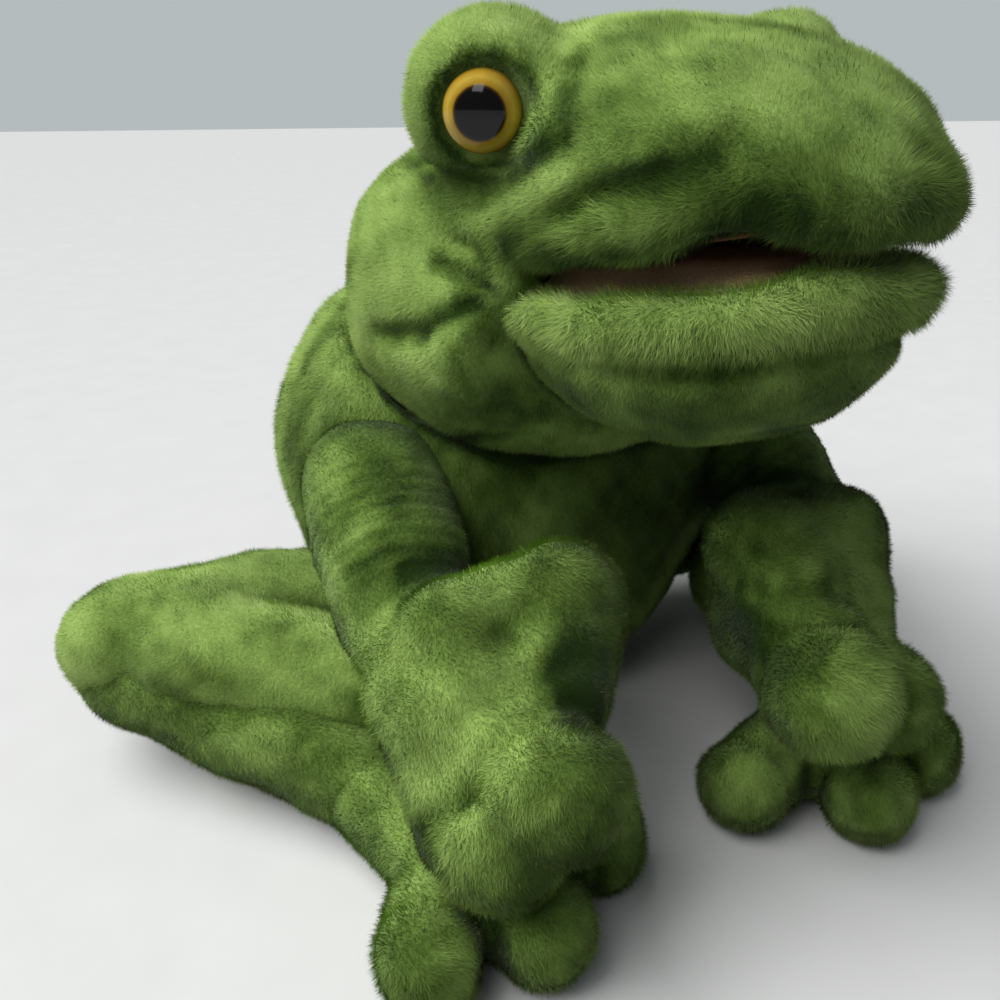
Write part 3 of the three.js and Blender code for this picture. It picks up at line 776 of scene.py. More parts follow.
class Shade:
    """Builds the nodes of one material, or of the world, round its last shader."""

    def __init__(self, name: str, store: Any = None, surface: str = "Principled BSDF") -> None:
        """Starts a new block with its default shader.

        Args:
            name: The block's name.
            store: Where blocks of its kind are kept, or none for a material.
            surface: The default shader's name.
        """
        self.block = (bpy.data.materials if store is None else store).new(name)
        self.block.use_nodes = True
        self.tree = self.block.node_tree
        self.surface = self.tree.nodes[surface]

    def node(self, kind: str, settings: Mapping[str, Any] | None = None,
             inputs: Mapping[int | str, Any] | None = None, output: int | str = 0) -> Wire:
        """Adds any node: its settings first, then the values or links of its sockets.

        Args:
            kind: The node's type.
            settings: Attributes to set; "stops" fills a colour ramp with (place, colour) pairs.
            inputs: A number, colour or wire for each named or numbered socket.
            output: The output to return.

        Returns:
            The chosen output.
        """
        made = self.tree.nodes.new(kind)
        for key, value in (settings or {}).items():
            if key == "stops":
                self.fill_ramp(made.color_ramp, value)
            else:
                setattr(made, key, value)
        for key, value in (inputs or {}).items():
            self.feed(made.inputs[key], value)
        return Wire(self, made.outputs[output])

    @staticmethod
    def fill_ramp(ramp: bpy.types.ColorRamp, stops: Sequence[tuple[float, Colour]]) -> None:
        """Sets a colour ramp's stops."""
        while len(ramp.elements) < len(stops):
            ramp.elements.new(1.0)
        for element, (place, colour) in zip(ramp.elements, stops):
            element.position = place
            element.color = (*colour, 1.0)

    def feed(self, socket: bpy.types.NodeSocket, value: Any) -> None:
        """Links a wire to a socket, or sets the socket's own value."""
        if isinstance(value, Wire):
            self.tree.links.new(value.socket, socket)
        elif isinstance(value, tuple) and len(value) == 3 and socket.type == "RGBA":
            socket.default_value = (*value, 1.0)
        else:
            socket.default_value = value

    def ramp(self, factor: Wire, stops: Sequence[tuple[float, Colour]]) -> Wire:
        """A colour ramp over a value."""
        return self.node("ShaderNodeValToRGB", {"stops": stops}, {0: factor})

    def mix(self, factor: Any, first: Any, second: Any, blend: str = "MIX") -> Wire:
        """Mixes two colours."""
        return self.node("ShaderNodeMix", {"data_type": "RGBA", "blend_type": blend},
                         {0: factor, 6: first, 7: second}, 2)

    def place(self) -> Wire:
        """The object's own coordinates, in metres."""
        return self.node("ShaderNodeTexCoord", output="Object")

    def map(self) -> Wire:
        """The piece's own map."""
        return self.node("ShaderNodeUVMap", {"uv_map": MAP_NAME})

    def parts(self, vector: Wire) -> tuple[Wire, Wire, Wire]:
        """A vector's three numbers.

        Args:
            vector: The vector to take apart.

        Returns:
            One wire per number.
        """
        first = self.node("ShaderNodeSeparateXYZ", inputs={0: vector})
        rest = first.socket.node.outputs
        return first, Wire(self, rest[1]), Wire(self, rest[2])

    def noise(self, scale: float, detail: float = 3.0, rough: float = 0.5) -> Wire:
        """Fractal noise on the object's coordinates, with the scale per metre."""
        inputs = {"Vector": self.place(), "Scale": scale, "Detail": detail, "Roughness": rough}
        return self.node("ShaderNodeTexNoise", inputs=inputs)

    def bump(self, height: Wire, depth: float) -> Wire:
        """Bumps from a height of 0 to 1 that stands for a depth in metres."""
        return self.node("ShaderNodeBump", inputs={"Height": height, "Distance": depth, "Strength": 1.0})

    def rays(self, *kinds: str) -> Wire:
        """One for rays of the named kinds, and nought for all others."""
        return sum(self.node("ShaderNodeLightPath", output=f"Is {kind} Ray") for kind in kinds)

    def finish(self, **inputs: Any) -> bpy.types.ID:
        """Sets the last shader's sockets; underscores in a name stand for spaces.

        Args:
            inputs: A value or wire for each socket.

        Returns:
            The finished material or world.
        """
        for key, value in inputs.items():
            self.feed(self.surface.inputs[key.replace("_", " ")], value)
        return self.block


@dataclass(frozen=True)
class PileFinish:
    """Plush blades: a yellow green that follows each blade's own tone, darker at the root as painted shade
    deep in the pile.
    """

    deep: Colour = (0.020, 0.048, 0.005)
    shade: Colour = (0.125, 0.215, 0.036)
    body: Colour = (0.335, 0.500, 0.118)
    light: Colour = (0.500, 0.680, 0.195)
    pale: Colour = (0.640, 0.800, 0.310)

    def tones(self, shade: Shade, tone: Wire) -> Wire:
        """The colour of a tone from 0, painted shade deep in a fold, to 1, brushed up on a free surface."""
        colours = (self.deep, self.shade, self.body, self.light, self.pale)
        return shade.ramp(tone, tuple(zip((0.0, 0.25, 0.52, 0.76, 1.0), colours)))

    def material(self) -> bpy.types.Material:
        """Reads the tone across the map and the way from root to tip up the map.

        Returns:
            The finished material.
        """
        shade = Shade("plush_pile")
        tone, rise, _ = shade.parts(shade.map())
        # Painted shade deep in the pile: each blade darker towards its root.
        lift = shade.ramp(rise, ((0.0, (0.55,) * 3), (0.5, (0.85,) * 3), (0.95, (1.0,) * 3)))
        colour = shade.mix(1.0, self.tones(shade, tone), lift, "MULTIPLY")
        return shade.finish(Base_Color=colour, Roughness=0.85, Sheen_Weight=0.3, Sheen_Roughness=0.5,
                            Sheen_Tint=self.pale, Specular_IOR_Level=0.15)


@dataclass(frozen=True)
class BackingFinish:
    """The knitted backing under the pile, which shows between blades and where the pile is thin."""

    pile: PileFinish

    def material(self) -> bpy.types.Material:
        """Follows the pile's tone, with its painted light and shade, which the skin carries at each point,
        and raises a fine grain.

        Returns:
            The finished material.
        """
        shade = Shade("plush_backing")
        grain = shade.noise(900.0, 4.0, 0.6)
        tone = shade.node("ShaderNodeAttribute", {"attribute_name": TONE_NAME}, output="Fac")
        colour = self.pile.tones(shade, tone * 0.85 + (grain - 0.5) * 0.3)
        return shade.finish(Base_Color=colour, Roughness=0.95, Sheen_Weight=0.2,
                            Normal=shade.bump(grain, 0.0006), Specular_IOR_Level=0.1)


@dataclass(frozen=True)
class VelvetFinish:
    """Short velvet: a fine grain, broad brushed patches and a pale sheen."""

    name: str
    deep: Colour
    body: Colour
    light: Colour

    def material(self) -> bpy.types.Material:
        """Brushes three colours over the surface and raises the grain.

        Returns:
            The finished material.
        """
        shade = Shade(self.name)
        grain = shade.noise(1500.0, 3.0, 0.6)
        brushed = shade.noise(55.0, 3.0, 0.55)
        blend = brushed * 0.65 + grain * 0.35
        colour = shade.ramp(blend, ((0.28, self.deep), (0.5, self.body), (0.74, self.light)))
        return shade.finish(Base_Color=colour, Roughness=0.9, Sheen_Weight=0.5, Sheen_Roughness=0.45,
                            Sheen_Tint=self.light, Normal=shade.bump(grain, 0.0004), Specular_IOR_Level=0.15)


@dataclass(frozen=True)
class WovenFinish:
    """Plain woven lining: two sets of threads over the piece's map."""

    name: str = "woven_lining"
    deep: Colour = (0.035, 0.075, 0.018)
    light: Colour = (0.115, 0.215, 0.065)
    threads: float = 150.0

    def material(self) -> bpy.types.Material:
        """Crosses two sine waves for the threads and varies their colour with noise.

        Returns:
            The finished material.
        """
        shade = Shade(self.name)
        across, along, _ = shade.parts(shade.map())
        pitch = 2.0 * math.pi * self.threads
        weave = (across * pitch).sine() * (along * pitch).sine() * 0.5 + 0.5
        fade = shade.noise(60.0, 3.0)
        colour = shade.ramp(weave * 0.45 + fade * 0.55, ((0.25, self.deep), (0.8, self.light)))
        return shade.finish(Base_Color=colour, Roughness=0.8, Sheen_Weight=0.15,
                            Normal=shade.bump(weave, 0.0003))


@dataclass(frozen=True)
class EyeFinish:
    """A clear dome over a black pupil and an amber ring, with a dark rim."""

    pupil: Colour = (0.004, 0.003, 0.003)
    edge: Colour = (0.045, 0.022, 0.003)
    amber: Colour = (0.420, 0.250, 0.016)
    bright: Colour = (0.560, 0.390, 0.050)
    rim: Colour = (0.090, 0.055, 0.010)

    def material(self) -> bpy.types.Material:
        """Rings of colour by the way out from the middle, flecked a little in the amber.

        Returns:
            The finished material.
        """
        shade = Shade("glossy_eye")
        _, out, _ = shade.parts(shade.map())
        fleck = shade.noise(420.0, 3.0)
        rings = shade.ramp(out + (fleck - 0.5) * 0.03, (
            (0.0, self.pupil), (0.575, self.pupil), (0.625, self.edge), (0.68, self.amber),
            (0.82, self.bright), (0.93, self.amber), (1.0, self.rim)))
        cloud = shade.ramp(shade.noise(160.0, 2.0), ((0.3, (0.78, 0.74, 0.7)), (0.7, (1.0, 1.0, 1.0))))
        return shade.finish(Base_Color=shade.mix(1.0, rings, cloud, "MULTIPLY"), Roughness=0.09,
                            Specular_IOR_Level=0.3)


@dataclass(frozen=True)
class CardFinish:
    """Stiff card with fibres and specks."""

    deep: Colour = (0.230, 0.180, 0.115)
    light: Colour = (0.400, 0.335, 0.240)

    def material(self) -> bpy.types.Material:
        """Mixes long and short noise for the fibres.

        Returns:
            The finished material.
        """
        shade = Shade("palate_card")
        fibre = shade.noise(600.0, 5.0, 0.65)
        colour = shade.ramp(fibre * 0.6 + shade.noise(40.0) * 0.4, ((0.3, self.deep), (0.7, self.light)))
        return shade.finish(Base_Color=colour, Roughness=0.85, Normal=shade.bump(fibre, 0.0002))


@dataclass(frozen=True)
class MouldedFinish:
    """Black moulded plastic with a fine matte grain."""

    deep: Colour = (0.008, 0.008, 0.008)
    light: Colour = (0.022, 0.021, 0.020)

    def material(self) -> bpy.types.Material:
        """Varies colour and roughness with one noise.

        Returns:
            The finished material.
        """
        shade = Shade("moulded_washer")
        grain = shade.noise(800.0, 3.0)
        return shade.finish(Base_Color=shade.ramp(grain, ((0.3, self.deep), (0.7, self.light))),
                            Roughness=grain * 0.25 + 0.4, Normal=shade.bump(grain, 0.0001))


@dataclass(frozen=True)
class Whorl:
    """A place that the nap spreads from."""

    center: Sequence[float]
    reach: float
    strength: float = 1.5


@dataclass(frozen=True)
class Nap:
    """How pile lies: a main direction, whorls that it spreads from, and how much it swirls."""

    main: Sequence[float]
    whorls: Sequence[Whorl] = ()
    swirl: float = 0.7

    def flow(self, points: Array, normals: Array, seed: int) -> Array:
        """Works out the way that the pile lies on a surface.

        Args:
            points: Places on the surface.
            normals: The outward directions there.
            seed: The seed of the swirls.

        Returns:
            Unit vectors along the surface.
        """
        way = np.broadcast_to(np.asarray(self.main, float), points.shape).copy()
        for whorl in self.whorls:
            away = points - np.asarray(whorl.center, float)
            pull = whorl.strength * np.exp(-((away ** 2).sum(-1) / whorl.reach ** 2))
            way += pull[:, None] * unit(away)
        way = unit(way - (way * normals).sum(-1, keepdims=True) * normals)
        turn = self.swirl * Unevenness(26.0, seed + 11).at(points)
        turn = turn + 0.35 * Unevenness(7.0, seed + 12).at(points)
        across = np.cross(normals, way)
        return way * np.cos(turn)[:, None] + across * np.sin(turn)[:, None]


@dataclass(frozen=True, eq=False)
class Accent:
    """A place with longer or shorter and lighter or darker pile; several of the tones are painted light or
    painted shade.
    """

    place: Form
    length: float = 1.0
    tone: float = 0.0
    soft: float = 5.0


@dataclass(frozen=True)
class Pile:
    """Plush pile: the length, width and number of its blades, in millimetres, and how they lean."""

    length: float = 2.6
    width: float = 0.21
    density: float = 5.4
    lean: float = 44.0
    sink: float = 0.4
    floor: float = 0.4

    def roots(self, skin: Skin, rng: np.random.Generator) -> tuple[Array, Array]:
        """Scatters roots evenly over a skin, in proportion to each triangle's area.

        Args:
            skin: The surface.
            rng: The source of chance.

        Returns:
            The places and the outward directions there.
        """
        triangles = np.concatenate((skin.quads[:, :3], skin.quads[:, [0, 2, 3]]))
        first, second, third = (skin.points[triangles[:, i]] for i in range(3))
        area = 0.5 * np.linalg.norm(np.cross(second - first, third - first), axis=-1)
        running = np.cumsum(area)
        count = int(running[-1] * self.density * (1.0))
        spots = (np.arange(count) + rng.random(count)) / count * running[-1]
        chosen = triangles[np.minimum(np.searchsorted(running, spots), len(triangles) - 1)]
        share = rng.random((count, 2))
        share = np.where(share.sum(-1, keepdims=True) > 1.0, 1.0 - share, share)
        weights = np.column_stack((1.0 - share.sum(-1), share))[..., None]
        return (skin.points[chosen] * weights).sum(1), unit((skin.normals[chosen] * weights).sum(1))

    @staticmethod
    def openness(form: Form, around: Sequence[Form], root: Array, normal: Array) -> Array:
        """Tells how open the air over each root is, from 0 in a fold to 1 on a free surface.

        Args:
            form: The skin's own form, looked at 3 and 10 mm out.
            around: Other pieces' forms, looked at 5 mm out.
            root: The roots.
            normal: The outward directions there.

        Returns:
            One number per root.
        """
        near = np.clip(form.distance(root + 3.0 * normal) / 3.0, 0.0, 1.0)
        wide = np.clip(form.distance(root + 10.0 * normal) / 10.0, 0.0, 1.0)
        free = 0.45 * near + 0.55 * wide
        for other in around:
            free = free * (0.80 + 0.20 * np.clip((other.distance(root + 5.0 * normal) + 1.0) / 8.0, 0.0, 1.0))
        return free

    def tone(self, cloth: "Cloth", root: Array, normal: Array, free: Array) -> Array:
        """Works out the pile's tone: broad and fine patches, with painted light on faces turned up and
        painted shade in folds and where air is closed in.

        Args:
            cloth: What the pile grows on.
            root: Places on it.
            normal: The outward directions there.
            free: How open the air is there.

        Returns:
            A tone per place, about 0 to 1.
        """
        brushed = np.tanh(1.4 * Unevenness(30.0, cloth.seed + 4).at(root))
        tone = 0.56 + 0.11 * brushed + 0.06 * Unevenness(9.0, cloth.seed + 5).at(root)
        # Painted light on faces turned up, and painted shade where the air over the pile is closed in.
        tone += 0.06 * normal[:, 2] - 0.95 * (1.0 - free)
        # Painted shade along each fold.
        for fold in cloth.folds:
            tone -= 0.065 * fold.depth_at(root)
        # Accents lighten or darken places; several of them are painted light or painted shade.
        for accent in cloth.accents:
            tone += accent.tone * np.clip(1.0 - accent.place.distance(root) / accent.soft, 0.0, 1.0)
        return tone

    def grow(self, name: str, cloth: "Cloth", skin: Skin, bends: bool) -> list[Node]:
        """Covers a skin with blades, each one narrow triangle from its root to its tip.

        A blade leaves the skin between its normal and the nap. It is shorter where the form closes in round
        it and darker there as painted shade, and its tone drifts in broad and fine patches.

        Args:
            name: The first part of the pieces' names.
            cloth: What the pile grows on, and how it lies there.
            skin: The meshed surface.
            bends: Whether the piece bends between two bodies.

        Returns:
            The pieces of pile.
        """
        seed = cloth.seed
        rng = np.random.default_rng(seed)
        root, normal = self.roots(skin, rng)
        keep = root[:, 2] > self.floor + 0.7
        if cloth.bare is not None:
            keep &= cloth.bare.distance(root) > 0.0
        for other in cloth.around:
            keep &= other.distance(root) > -6.0
        root, normal = root[keep], normal[keep]
        count = len(root)
        free = self.openness(cloth.form, cloth.around, root, normal)
        size = self.length * (0.70 + 0.55 * rng.random(count)) * (0.5 + 0.5 * free)
        size *= 1.0 + 0.16 * Unevenness(14.0, seed + 3).at(root)
        tone = self.tone(cloth, root, normal, free) + 0.06 * rng.standard_normal(count)
        for accent in cloth.accents:
            share = np.clip(1.0 - accent.place.distance(root) / accent.soft, 0.0, 1.0)
            size *= 1.0 + (accent.length - 1.0) * share
        flow = cloth.nap.flow(root, normal, seed)
        lean = np.radians(self.lean + 12.0 * rng.standard_normal(count))[:, None]
        way = unit(normal * np.cos(lean) + flow * np.sin(lean) + 0.22 * rng.standard_normal((count, 3)))
        twist = rng.uniform(-0.7, 0.7, count)[:, None]
        across = unit(np.cross(way, normal) + 1e-4)
        across = across * np.cos(twist) + np.cross(way, across) * np.sin(twist)
        face = unit(np.cross(across, way))
        turned = (face * normal).sum(-1, keepdims=True) < 0.0
        across, face = np.where(turned, -across, across), np.where(turned, -face, face)
        half = (0.5 * self.width * rng.uniform(0.7, 1.3, count))[:, None] * across
        base = root - self.sink * normal
        corners = np.stack((base - half, base + half, base + size[:, None] * way), 1)
        corners[..., 2] = np.maximum(corners[..., 2], self.floor)
        facing = np.repeat(unit(0.72 * normal + 0.28 * face)[:, None], 3, 1)
        tones = 0.012 + 0.976 * np.clip(tone, 0.0, 1.0)[:, None] + np.array((-0.006, 0.006, 0.0))
        rises = np.broadcast_to(np.array((0.01, 0.01, 0.99)), tones.shape)
        uv = np.stack((tones, rises), -1)
        parts = math.ceil(count / BLADES_PER_PIECE)
        order = np.argsort(root[:, 0])
        pieces = []
        for index, chosen in enumerate(np.array_split(order, parts)):
            part = name if parts == 1 else f"{name}_{index + 1}"
            blades = np.arange(3 * len(chosen)).reshape(-1, 3)
            pieces.append(make_object(part, corners[chosen].reshape(-1, 3), blades,
                                      facing[chosen].reshape(-1, 3), uv[chosen].reshape(-1, 2), bends))
        log.info("%s: %d blades in %d pieces", name, count, parts)
        return pieces


@dataclass(frozen=True, eq=False)
class Cloth:
    """A plush piece to be made: its form and folds, how its pile lies and differs, and what lies close by."""

    form: Form
    nap: Nap
    seed: int
    folds: Sequence[Fold] = ()
    bare: Form | None = None
    accents: Sequence[Accent] = ()
    around: Sequence[Form] = ()
    fill: float = 0.75
    rests: bool = False
    inset: float = 2.2
    pile: Pile = Pile()
    step: float = 4.4

    def stuffed(self) -> tuple["Cloth", Skin]:
        """Draws the form in to leave room for the stuffing and the pile, and swells and folds its skin.

        Returns:
            The cloth with its form as stuffed and folded, and the skin.
        """
        shape: Form = Grown(self.form, -self.inset)
        if self.rests:
            shape = Carved(shape, (Wedge((((0.0, 0.0, 0.9), (0.0, 0.0, 1.0)),)),), 3.0)
        coarse = SurfaceNet(shape, self.step).mesh()
        still = coarse.points[:, 2] < 2.0
        if self.bare is not None:
            still |= self.bare.distance(coarse.points) < 0.0
        skin = Stuffing().swell(coarse, still).drawn_in(self.folds)
        return replace(self, form=Creased(Grown(shape, 0.8), self.folds)), skin


@dataclass
class Hold:
    """What a piece moves with: one body, or two with the stretch in millimetres where it bends."""

    body: str
    second: str | None = None
    start: Array | None = None
    end: Array | None = None

    def take(self, piece: Node) -> None:
        """Puts a piece on its body; one held between two bodies only has its place baked into its mesh."""
        if self.second is None:
            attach(piece, self.body)
        else:
            tuple(self.start * MM)
            tuple(self.end * MM)
            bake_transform(piece)


class Workroom:
    """Holds the finishes and turns forms and surfaces into dressed pieces."""

    def __init__(self) -> None:
        """Makes every material once."""
        self.pile = PileFinish().material()
        self.backing = BackingFinish(PileFinish()).material()
        self.woven = WovenFinish().material()
        self.roof = VelvetFinish("mouth_roof_velvet", (0.085, 0.028, 0.014), (0.180, 0.064, 0.034),
                                 (0.290, 0.120, 0.066)).material()
        self.floor = VelvetFinish("mouth_floor_velvet", (0.260, 0.150, 0.080), (0.420, 0.262, 0.150),
                                  (0.560, 0.380, 0.235)).material()
        self.eye = EyeFinish().material()
        self.card = CardFinish().material()
        self.moulded = MouldedFinish().material()

    def dress(self, piece: Node, material: bpy.types.Material, hold: Hold, slot: Slot,
              nodes: Sequence[str] = (), fill: float | None = None) -> Node:
        """Gives a piece its material and body, and hides the CAD nodes that it stands for.

        Args:
            piece: The finished mesh object.
            material: Its finish.
            hold: What it moves with.
            slot: Not used.
            nodes: The CAD nodes that it stands for.
            fill: Not used.

        Returns:
            The piece.
        """
        piece.data.materials.append(material)
        hold.take(piece)
        if nodes:
            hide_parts(*nodes)
        log.info("%s: %d faces on %s", piece.name, len(piece.data.polygons), hold.body)
        return piece

    def plush(self, name: str, cloth: Cloth, hold: Hold, nodes: Sequence[str]) -> None:
        """Makes a stuffed piece: its backing skin and its pile.

        Args:
            name: The piece's name.
            cloth: What it is made of.
            hold: What it moves with.
            nodes: The CAD nodes that it stands for.
        """
        drawn, skin = cloth.stuffed()
        bends = hold.second is not None
        backing = make_object(name, skin.points, skin.quads, skin.normals, bends=bends)
        # The backing carries the pile's tone, with its painted light and painted shade.
        free = drawn.pile.openness(drawn.form, drawn.around, skin.points, skin.normals)
        tone = drawn.pile.tone(drawn, skin.points, skin.normals, free)
        layer = backing.data.attributes.new(TONE_NAME, "FLOAT", "POINT")
        layer.data.foreach_set("value", tone.astype(np.float32))
        self.dress(backing, self.backing, hold, Slot.PLUSH, nodes, cloth.fill)
        for part in drawn.pile.grow(f"{name}_pile", drawn, skin, bends):
            self.dress(part, self.pile, hold, Slot.PLUSH)

    def sheet(self, name: str, surface: Surface, wall: float | None, material: bpy.types.Material,
              hold: Hold, slot: Slot, nodes: Sequence[str] = ()) -> None:
        """Makes and dresses a piece from one surface, with a wall if it is a sheet of cloth.

        Args:
            name: The piece's name.
            surface: The outer face's points in millimetres, its quads and its map.
            wall: The wall's thickness in millimetres, inward, or none for a closed surface.
            material: Its finish.
            hold: What it moves with.
            slot: The record's slot.
            nodes: The CAD nodes that it stands for.
        """
        points, quads, uv = surface
        piece = make_object(name, points, quads, uv=uv)
        if wall is not None:
            solid = piece.modifiers.new("wall", "SOLIDIFY")
            solid.thickness = wall * MM
            solid.offset = -1.0
        self.dress(piece, material, hold, slot, nodes)

    @staticmethod
    def refinish(node: str, material: bpy.types.Material) -> None:
        """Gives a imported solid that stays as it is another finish.

        Args:
            node: The solid's node.
            material: Its finish.
        """
        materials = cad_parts[node].data.materials
        materials.clear()
        materials.append(material)


@dataclass
class Head:
    """The stuffed head: skull, muzzle, upper lip, cheeks and eye bumps, hollow for a hand."""

    neck: Sequence[float] = (0.0, -50.0, 168.0)
    skull_half: Sequence[float] = (77.0, 60.0, 54.0)
    muzzle: Sequence[float] = (0.0, -101.0, 206.0)
    muzzle_half: Sequence[float] = (58.0, 76.0, 40.5)
    muzzle_tilt: float = -4.0
    bump: tuple[float, float, float] = (47.0, -80.0, 224.0)
    bump_radius: float = 26.0
    eye_outward: float = 36.0
    eye_upward: float = -2.0
    eye_seat: float = 18.56
    cheek: tuple[float, float, float] = (57.5, -82.0, 161.0)
    cheek_half: Sequence[float] = (15.0, 20.0, 18.0)
    corner_pad: tuple[float, float, float] = (50.0, -96.0, 181.0)
    corner_pad_half: Sequence[float] = (8.5, 12.0, 11.0)
    corner_y: float = -102.0
    upper_lip_z: float = 184.0
    upper_slope: float = 14.0
    lower_lip_z: float = 181.0
    lower_slope: float = 9.5
    jaw: Sequence[float] = (0.0, -105.0, 183.0)
    jaw_half: Sequence[float] = (53.0, 67.0, 49.0)
    jaw_back: float = -60.0
    hollow: Ball = field(default_factory=lambda: Ball((0.0, -63.0, 180.0), (30.0, 42.0, 38.0)))
    fingers: Ball = field(default_factory=lambda: Ball((0.0, -102.0, 213.0), (38.0, 52.0, 13.5), 2.2))
    thumb: Ball = field(default_factory=lambda: Ball((0.0, -116.0, 159.0), (17.0, 33.0, 10.0), 2.2))
    bore_axis: Sequence[float] = (0.0, 0.515, -0.857)
    bore: float = 28.0

    def plane(self, upper: bool) -> Plane:
        """The upper or lower lip's plane: a point and its upward normal.

        Args:
            upper: Whether it is the upper lip's.

        Returns:
            The point and the normal.
        """
        z, slope = (self.upper_lip_z, self.upper_slope) if upper else (self.lower_lip_z, self.lower_slope)
        turn = math.radians(slope)
        return (0.0, self.corner_y, z), (0.0, math.sin(turn), math.cos(turn))

    def plane_height(self, y: Array, upper: bool) -> Array:
        """The height of a lip's plane at each Y."""
        point, normal = self.plane(upper)
        return point[2] - (y - self.corner_y) * normal[1] / normal[2]

    def lip(self, width: float, length: float, rise: float, upper: bool, past: float = 8.0,
            bow: float = 0.0, sag: float = 0.0) -> Array:
        """Follows half an ellipse round the mouth on a lip's plane, its front bowed and one side sagging.

        Args:
            width: Half the ellipse's width.
            length: Its reach forward.
            rise: The height over the plane.
            upper: Whether it is the upper lip.
            past: Degrees that it goes on behind each corner.
            bow: The added height at the front, which fades as the square of the cosine.
            sag: Scales the height lost on the right and, by half, gained on the left. Both go as the
                turn's squared sine times its cosine.

        Returns:
            The path's points.
        """
        turn = np.radians(np.linspace(-90.0 - past, 90.0 + past, 19))
        y = self.corner_y - length * np.cos(turn)
        z = self.plane_height(y, upper) + rise
        uneven = np.where(turn < 0.0, -2.6, 1.3) * np.sin(turn) ** 2 * np.maximum(np.cos(turn), 0.0)
        z = z + bow * np.cos(turn) ** 2 + sag * uneven
        return np.column_stack((width * np.sin(turn), y, z))

    def hand_room(self) -> Form:
        """The room for a hand: the neck bore and the hollow with its two pockets.

        Returns:
            The room's form.
        """
        neck = np.asarray(self.neck, float)
        axis = np.asarray(self.bore_axis, float)
        bore = Limb(neck + 20.0 * axis, neck + 80.0 * axis, self.bore, self.bore)
        return Joined((self.hollow, bore, self.fingers), 4.0)

    def balls(self) -> tuple[Form, Form]:
        """The skull and the muzzle before anything is sewn to them."""
        muzzle = Ball(self.muzzle, self.muzzle_half, 2.3, self.muzzle_tilt)
        return Ball(self.neck, self.skull_half, 2.3), muzzle

    def jaw_ball(self) -> Ball:
        """The jaw before it is cut to the lip."""
        return Ball(self.jaw, self.jaw_half, 2.2)

    def bulk(self) -> Form:
        """The head's plain outer shape, for pieces that lie against it."""
        return Joined((*self.balls(), self.jaw_ball()), 6.0)

    @staticmethod
    def tapered(path: Array, full: float, radii: Sequence[float]) -> Roll:
        """A roll with three radii: in the middle, at a share of the way to its ends, and at its ends."""
        way = np.abs(np.linspace(-1.0, 1.0, len(path)))
        return Roll(path, np.interp(way, (0.0, full, 1.0), radii))

    def upper_lip(self) -> Roll:
        """The roll of the upper lip."""
        return self.tapered(self.lip(49.5, 68.5, 9.0, True, bow=-3.2, sag=-1.6), 0.8, (11.0, 10.2, 8.0))

    def lower_lip(self) -> Roll:
        """The roll of the lower lip."""
        return self.tapered(self.lip(47.5, 68.0, -8.3, False, 0.0, 1.4, 2.6), 0.75, (10.2, 9.4, 7.6))

    def jaw_form(self) -> Form:
        """The lower jaw: half of a full form under the lower lip, with the lip's roll.

        Returns:
            The jaw's form.
        """
        point, normal = self.plane(False)
        above = Wedge(((np.add(point, (0.0, 0.0, -5.0)), tuple(-n for n in normal)),))
        behind = Wedge((((0.0, self.jaw_back, 0.0), (0.0, -1.0, 0.0)),))
        full = Joined((Carved(self.jaw_ball(), (above,), 6.0), self.lower_lip()), 3.0)
        return Carved(full, (behind, self.thumb, self.hollow), 5.0)

    def eye_facing(self, side: Side) -> Array:
        """The way an eye looks, from its two angles."""
        out, up = math.radians(self.eye_outward), math.radians(self.eye_upward)
        return unit(side.at(math.sin(out), -math.cos(out), math.tan(up)))

    def eye_rim(self, side: Side) -> Array:
        """The middle of an eye's rim."""
        return side.at(*self.bump) + self.eye_seat * self.eye_facing(side)

    def brows(self) -> list[Form]:
        """The stuffed bumps that the eyes sit in, a little inward of them."""
        middle = np.subtract(self.bump, (1.5, 1.0, 1.0))
        return [Ball(side.at(*middle), (self.bump_radius,) * 3) for side in Side]

    def mouth_ball(self, upper: bool, rise: float, half: Sequence[float]) -> Ball:
        """A flat ball on a lip's plane, at a height over it."""
        x, y, z = self.plane(upper)[0]
        return Ball((x, y, z + rise), half, 2.6, self.upper_slope if upper else self.lower_slope)

    def eye_reach(self, side: Side, start: float, end: float, radii: Sequence[float]) -> Limb:
        """A capsule along the way an eye looks, from one distance off its rim to another."""
        rim, ahead = self.eye_rim(side), self.eye_facing(side)
        return Limb(rim + start * ahead, rim + end * ahead, *radii)

    def form(self) -> Form:
        """The head's shape, with the mouth, the jaw's room and the hand's room taken out.

        Returns:
            The head's form.
        """
        cheeks = [Ball(side.at(*self.cheek), self.cheek_half) for side in Side]
        mouth = Wedge((self.plane(True), ((0.0, self.corner_y + 4.0, 0.0), (0.0, 1.0, 0.0))))
        full = Carved(Joined((Joined(self.balls(), 16.0), *cheeks), 5.0), (mouth,), 3.0)
        corners = [Ball(side.at(*self.corner_pad), self.corner_pad_half) for side in Side]
        full = Joined((Joined((full, self.upper_lip(), *corners), 3.0), *self.brows()), 1.6)
        palate = self.mouth_ball(True, 0.0, (42.0, 64.0, 6.0))
        seats = [self.eye_reach(side, 0.0, 9.0, (9.0, 12.0)) for side in Side]
        room = Grown(self.jaw_form(), -6.0)
        return Lumpy(Carved(full, (palate, room, self.hand_room(), *seats), 3.0), 21)

